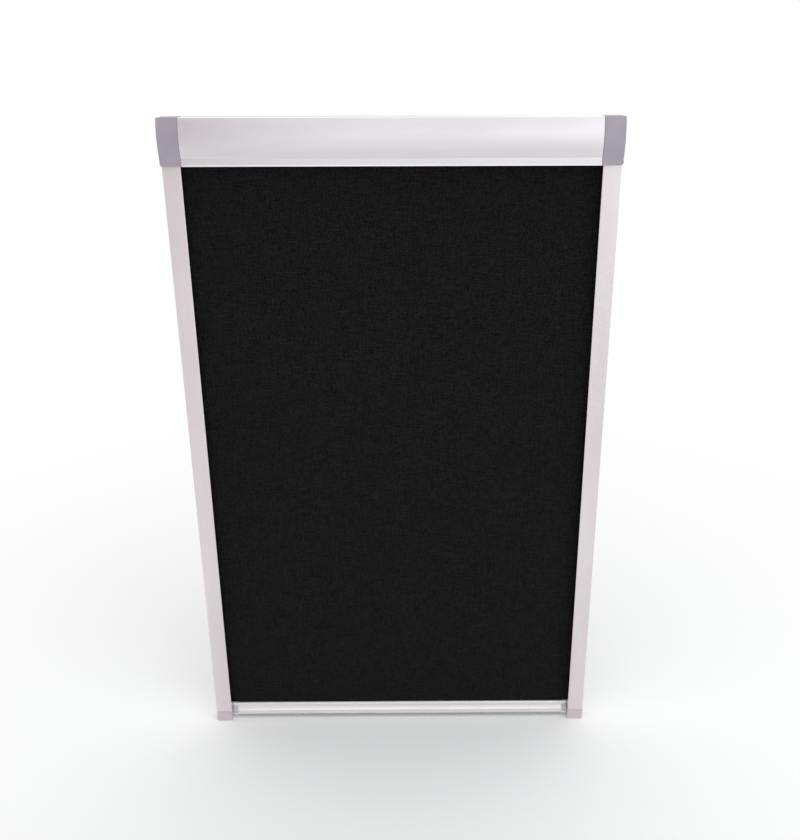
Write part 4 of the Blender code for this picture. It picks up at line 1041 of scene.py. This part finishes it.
def make_rail_cap(side_name, side, plastic):
    """The moulded cap on a rail's foot, with a plug up the rail and a pocket where the glider rests."""
    front = rail_cap_low.y
    top = rail_cap_high.z - SPIGOT_LENGTH
    back_corners = with_radius([(HALF_WIDTH, 0.0), (RAIL_INNER, 0.0)], MOULD_EASE)
    full = rounded(back_corners + with_radius([(RAIL_INNER, front), (HALF_WIDTH, front)], RAIL_EDGE_RADIUS))
    rings = []
    for k in range(RIM_STEPS + 1):
        rise = RAIL_CAP_EDGE * (k / RIM_STEPS) ** 2
        inset = fall(RAIL_CAP_EDGE, rise)
        low, high = RAIL_INNER + inset, HALF_WIDTH - inset
        rings.append(([(min(max(x, low), high), max(y, front + inset)) for x, y in full], BASE + rise))
    rings.append((full, top - CUT_EASE))
    rings.append((drawn_in(full, CUT_EASE), top))
    rings = [along_z([(side * x, y) for x, y in ring], z) for ring, z in rings]
    cap = placed(side_name + "_foot_cap", lofted(rings))
    pocket = block(
        "pocket",
        mirrored(side, (GLIDER_X - GAP, GLIDER_X + GLIDER_WIDTH + GAP)),
        (-(RAIL_DEPTH - RAIL_WALL), -RAIL_WALL),
        (BAR_TOP - GLIDER_TOP - GLIDER_HEIGHT - GAP, top + GAP),
    )
    carved(cap, "DIFFERENCE", pocket)
    carved(cap, "UNION", make_spigot("plug", side, (top - CAP_WALL, rail_cap_high.z)))
    finished(cap, "frame", side_name + "_rail_cap", plastic)


# Bottom bar


def at_bar(outline):
    """An outline in (y, z) from the cloth's plane and the bar's top, set in its place."""
    return [(CLOTH_Y + y, BAR_TOP + z) for y, z in outline]


def bar_outline():
    """The bar's section: plate, scoop, grooved ledge, slit and the round chamber for the hem's cord."""
    centre = (-BAR_PLATE_FRONT - SCOOP_RADIUS, -BAR_PLATE_HEIGHT)
    turns = [-SCOOP_ANGLE * k / (2 * ARC_STEPS) for k in range(2 * ARC_STEPS + 1)]
    scoop = [polar(centre, SCOOP_RADIUS, turn) for turn in turns]
    groove_top = LEDGE_Z - LEDGE_GROOVE_TOP
    groove_foot = groove_top - LEDGE_GROOVE_HEIGHT
    groove_y = -(LEDGE_FRONT - LEDGE_GROOVE)
    edge, small = BAR_EDGE_RADIUS, RAIL_INNER_RADIUS
    outside = [
        (-BAR_SLIT_HALF, 0.0, 0.0),
        (BAR_TOP_BEVEL - BAR_PLATE_FRONT, 0.0, edge),
        (-BAR_PLATE_FRONT, -BAR_TOP_BEVEL, edge),
        *((y, z, 0.0) for y, z in scoop),
        (-LEDGE_FRONT, LEDGE_Z, LEDGE_RADIUS),
        (-LEDGE_FRONT, groove_top, small),
        (groove_y, groove_top, small),
        (groove_y, groove_foot, small),
        (-LEDGE_FRONT, groove_foot, small),
        (-LEDGE_FRONT, -BAR_HEIGHT, edge),
        (BAR_BACK, -BAR_HEIGHT, edge),
        (BAR_BACK, 0.0, edge),
        (BAR_SLIT_HALF, 0.0, 0.0),
    ]
    opening = math.asin(BAR_SLIT_HALF / BAR_KEDER_RADIUS)
    sweep = 2 * (math.pi - opening)
    turns = [math.pi / 2 - opening - sweep * k / ROUND_STEPS for k in range(ROUND_STEPS + 1)]
    chamber = [polar((0.0, -KEDER_BELOW), BAR_KEDER_RADIUS, turn) for turn in turns]
    return rounded(outside, steps=4) + chamber


def notch(start, end, radius):
    """The three corners of a shallow groove across a straight run of an outline."""
    run = Vector(end) - Vector(start)
    along = run.normalized()
    middle = Vector(start) + run * NOTCH_SHARE
    deepest = middle + Vector((-along.y, along.x)) * NOTCH_DEPTH
    return with_radius((middle - along * NOTCH_HALF, deepest, middle + along * NOTCH_HALF), radius)


def end_space(play):
    """The corners of the space for a moulded end, behind the plate and the foot that run on to the rail."""
    back, top = BAR_BACK + GAP - play, GAP - play
    front, foot = play - GAP - LEDGE_FRONT, play - GAP - BAR_HEIGHT
    behind_plate, under_plate = BAR_RUN_WALL - BAR_PLATE_FRONT + play, -BAR_RUN_TOP - play
    behind_foot, over_foot = BAR_RUN_WALL - LEDGE_FRONT + play, BAR_RUN_FOOT - BAR_HEIGHT + play
    return [
        (back, top), (behind_plate, top), (behind_plate, under_plate), (front, under_plate),
        (front, over_foot), (behind_foot, over_foot), (behind_foot, foot), (back, foot),
    ]


def bar_hollow(play):
    """The corners of the space behind the bar's ledge, less some play all round."""
    y0, y1 = -(LEDGE_FRONT - LEDGE_GROOVE - BAR_WALL) + play, -(BAR_KEDER_RADIUS + BAR_WALL) - play
    z0, z1 = -(BAR_HEIGHT - BAR_WALL) + play, SCOOP_FOOT[1] - BAR_WALL - play
    return rounded(with_radius(((y0, z0), (y1, z0), (y1, z1), (y0, z1)), MOULD_EASE), steps=3)


def make_bar(metal):
    """The aluminium bar that pulls the cloth, hollow behind its ledge."""
    reach = BAR_END + GAP + BAR_END_WIDTH
    bar = extruded("pull_bar", at_bar(bar_outline()), (-reach, reach), CUT_EASE)
    spans = {"hollow": (bar_hollow(0.0), (-BAR_END - GAP, BAR_END + GAP))}
    for side_name, side in SIDES:
        spans[side_name + "_end"] = (end_space(0.0), mirrored(side, (BAR_END, reach + GAP)))
    for name, (outline, span) in spans.items():
        carved(bar, "DIFFERENCE", extruded(name, at_bar(outline), span))
    finished(bar, "bar", "bottom_bar", metal)


def make_seal(rubber):
    """The soft strip under the bar, with rounded lower edges and two shallow grooves."""
    low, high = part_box("bar_seal")
    edge = MOULD_EASE / 2
    corners = [(low.y, high.z, edge), (low.y, low.z, SEAL_ROUND)]
    for share in SEAL_GROOVE_SHARES:
        middle = low.y + (high.y - low.y) * share
        groove = ((middle - SEAL_GROOVE, low.z), (middle, low.z + SEAL_GROOVE), (middle + SEAL_GROOVE, low.z))
        corners += with_radius(groove, edge)
    corners += [(high.y, low.z, SEAL_ROUND), (high.y, high.z, edge)]
    seal = extruded("foot_seal", rounded(corners, steps=4), (low.x, high.x), CUT_EASE)
    finished(seal, "bar", "bar_seal", rubber)


def make_bar_end(side_name, side, plastic):
    """The bar's moulded end: a ramped cheek, a neck in the rail's slot and a glider in the rail."""
    edge, small = BAR_EDGE_RADIUS, NOTCH_DEPTH / 2
    space = end_space(GAP)
    ramp, ledge, sill = (-BAR_PLATE_FRONT, space[2][1]), (-LEDGE_FRONT, LEDGE_Z), (-LEDGE_FRONT, space[4][1])
    cheek = [
        (*space[0], edge), (*space[1], small), (*space[2], small), (*ramp, small), *notch(ramp, ledge, small),
        (*ledge, LEDGE_RADIUS), *notch(ledge, sill, small), (*sill, small), (*space[5], small),
        (*space[6], small), (*space[7], edge),
    ]
    inner, outer = BAR_END + GAP, BAR_END + GAP + BAR_END_WIDTH
    cheek_outline = at_bar(rounded(cheek, steps=4))
    end = extruded(side_name + "_bar_cheek", cheek_outline, mirrored(side, (inner, outer)), MOULD_EASE / 2)
    tongue_x = mirrored(side, (inner - BAR_TONGUE_LENGTH, inner + BAR_WALL))
    tongue = extruded("tongue", at_bar(bar_hollow(GAP)), tongue_x, MOULD_EASE / 2)
    neck = block(
        "neck",
        mirrored(side, (outer - BAR_WALL, GLIDER_X + BAR_WALL)),
        (CLOTH_Y - NECK_HALF, CLOTH_Y + NECK_HALF),
        (BAR_TOP - NECK_TOP - NECK_HEIGHT, BAR_TOP - NECK_TOP),
        ease=MOULD_EASE,
    )
    flange = RAIL_WALL + GLIDER_PLAY
    glider = block(
        "glider",
        mirrored(side, (GLIDER_X, GLIDER_X + GLIDER_WIDTH)),
        (flange - RAIL_DEPTH, -flange),
        (BAR_TOP - GLIDER_TOP - GLIDER_HEIGHT, BAR_TOP - GLIDER_TOP),
        ease=MOULD_EASE,
    )
    carved(end, "UNION", tongue, neck, glider)
    pad_low, pad_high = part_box(side_name + "_brake_pad")
    spring_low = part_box(side_name + "_brake_spring")[0]
    pocket = block(
        "pocket",
        (pad_low.x - GAP, pad_high.x + GAP),
        (spring_low.y - GAP, -flange + GAP),
        (pad_low.z - GAP, pad_high.z + GAP),
    )
    carved(end, "DIFFERENCE", pocket)
    finished(end, "bar", side_name + "_bar_end", plastic)


def make_brake_pad(side_name, rubber):
    """The rubber shoe that rubs in the rail."""
    pad = block(side_name + "_brake_shoe", *zip(*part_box(side_name + "_brake_pad")), ease=MOULD_EASE)
    finished(pad, side_name + "_brake", side_name + "_brake_pad", rubber)


# Springs


def make_spring(node, name, body, axis, coil, steel, joint=None):
    """A spring with a flat dead turn at either end. Where a joint is given, the spring gets a mesh of its own.
    """
    radius, wire, turns = coil
    low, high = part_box(node)
    first, last = low[axis] + wire, high[axis] - wire
    dead = 2 * wire * DEAD_TURN
    total = turns + 2
    rise = (last - first - 2 * dead) / turns
    centre = [(a + b) / 2 for a, b in zip(low, high)]

    def place_on(turn):
        """Where along its axis the spring is after some turns."""
        if turn < 1:
            return first + dead * turn
        if turn > total - 1:
            return last - dead * (total - turn)
        return first + dead + rise * (turn - 1)

    rings = []
    steps = total * COIL_STEPS
    along = unit(axis)
    for k in range(steps + 1):
        turn = total * k / steps
        angle = 2 * math.pi * turn
        out = Vector((0.0, 0.0, 0.0))
        out[(axis + 1) % 3], out[(axis + 2) % 3] = math.cos(angle), math.sin(angle)
        ahead = along.cross(out)
        rise_here = place_on(min(turn + SLOPE_REACH, total)) - place_on(max(turn - SLOPE_REACH, 0.0))
        slope = rise_here / (2 * SLOPE_REACH)
        tangent = (along * slope + ahead * 2 * math.pi * radius).normalized()
        across = tangent.cross(out)
        middle = Vector(centre) + out * radius
        middle[axis] = place_on(turn)
        rings.append([tuple(middle + out * y + across * z) for y, z in circle(wire, steps=WIRE_STEPS)])
    spring = placed(name, lofted(rings))
    finished(spring, body, node, steel)
    if joint:
        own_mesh(spring)


# The whole blind


def dress(material, slot, *nodes):
    """Gives model parts that are shown as they are their surface."""
    for node in nodes:
        target = frame["nodes"][node]
        target.data.materials.clear()
        target.data.materials.append(material)


def main():
    bpy.context.scene.view_settings.view_transform = "Standard"
    make_camera()
    make_floor()
    make_world()
    make_lights()
    make_cards()

    across = extruded_metal("anodised aluminium, extruded along X", (0.75, 0.721, 0.752), 0)
    upright = extruded_metal("anodised aluminium, extruded along Z", (0.735, 0.676, 0.69), 2, 0.38, 0.65, 0.12)
    pull = extruded_metal("anodised aluminium of the bar", (0.80, 0.764, 0.78), 0, 0.42, 0.55)
    mill = extruded_metal("mill aluminium", (0.62, 0.62, 0.63), 0, roughness=0.45)
    plastic = moulded_plastic("grey plastic", (0.35, 0.31, 0.36))
    pale_plastic = moulded_plastic("pale grey plastic", (0.565, 0.505, 0.53))
    acetal = moulded_plastic("white acetal", (0.75, 0.75, 0.73), 0.38)
    zinc = plain_metal("zinc plated steel", (0.56, 0.56, 0.58), 0.34, 700.0)
    wire = plain_metal("spring steel", (0.32, 0.32, 0.33), 0.34, 1500.0)
    cloth = woven_cloth("black blackout cloth", (0.0062, 0.0062, 0.0066))
    pile = soft_pile("dark grey pile", (0.05, 0.05, 0.053))
    rubber = soft_rubber("black rubber", (0.022, 0.022, 0.023))

    make_cover(across)
    make_back(across)
    make_cloth(cloth)
    make_roll(cloth)
    make_bar(pull)
    make_seal(rubber)
    make_spring("drive_spring", "motor_spring", "frame", 0, DRIVE_COIL, wire)
    make_spring("idler_spring", "pin_spring", "roller", 0, IDLER_COIL, wire, "pin_press")
    make_pile("slot_brush", "slot_pile", 0, (1, 1), pile, 11)
    for side_name, side in SIDES:
        make_end_cap(side_name, side, plastic)
        make_cap_screw(side_name + "_upper_cap_screw", side, BACK_PORT, zinc)
        make_cap_screw(side_name + "_lower_cap_screw", side, FRONT_PORT, zinc)
        make_rail(side_name, side, upright)
        make_rail_cap(side_name, side, pale_plastic)
        make_pile(side_name + "_front_pile", side_name + "_room_pile", 2, (1, 1), pile, 3 + side)
        make_pile(side_name + "_back_pile", side_name + "_glass_pile", 2, (1, -1), pile, 7 + side)
        make_bar_end(side_name, side, pale_plastic)
        make_brake_pad(side_name, rubber)
        brake, spring = side_name + "_brake_press", side_name + "_shoe_spring"
        make_spring(side_name + "_brake_spring", spring, "bar", 1, BRAKE_COIL, wire, brake)

    dress(mill, "mill_aluminium", "roller_tube")
    plugs = ("idler_plug", "drive_plug", "idler_bush", "spindle_guide", "spring_anchor")
    dress(acetal, "acetal", "roller_strip", "bar_keder", *plugs)
    dress(zinc, "steel", "idler_pin", "spindle_seat", "drive_spindle")


main()
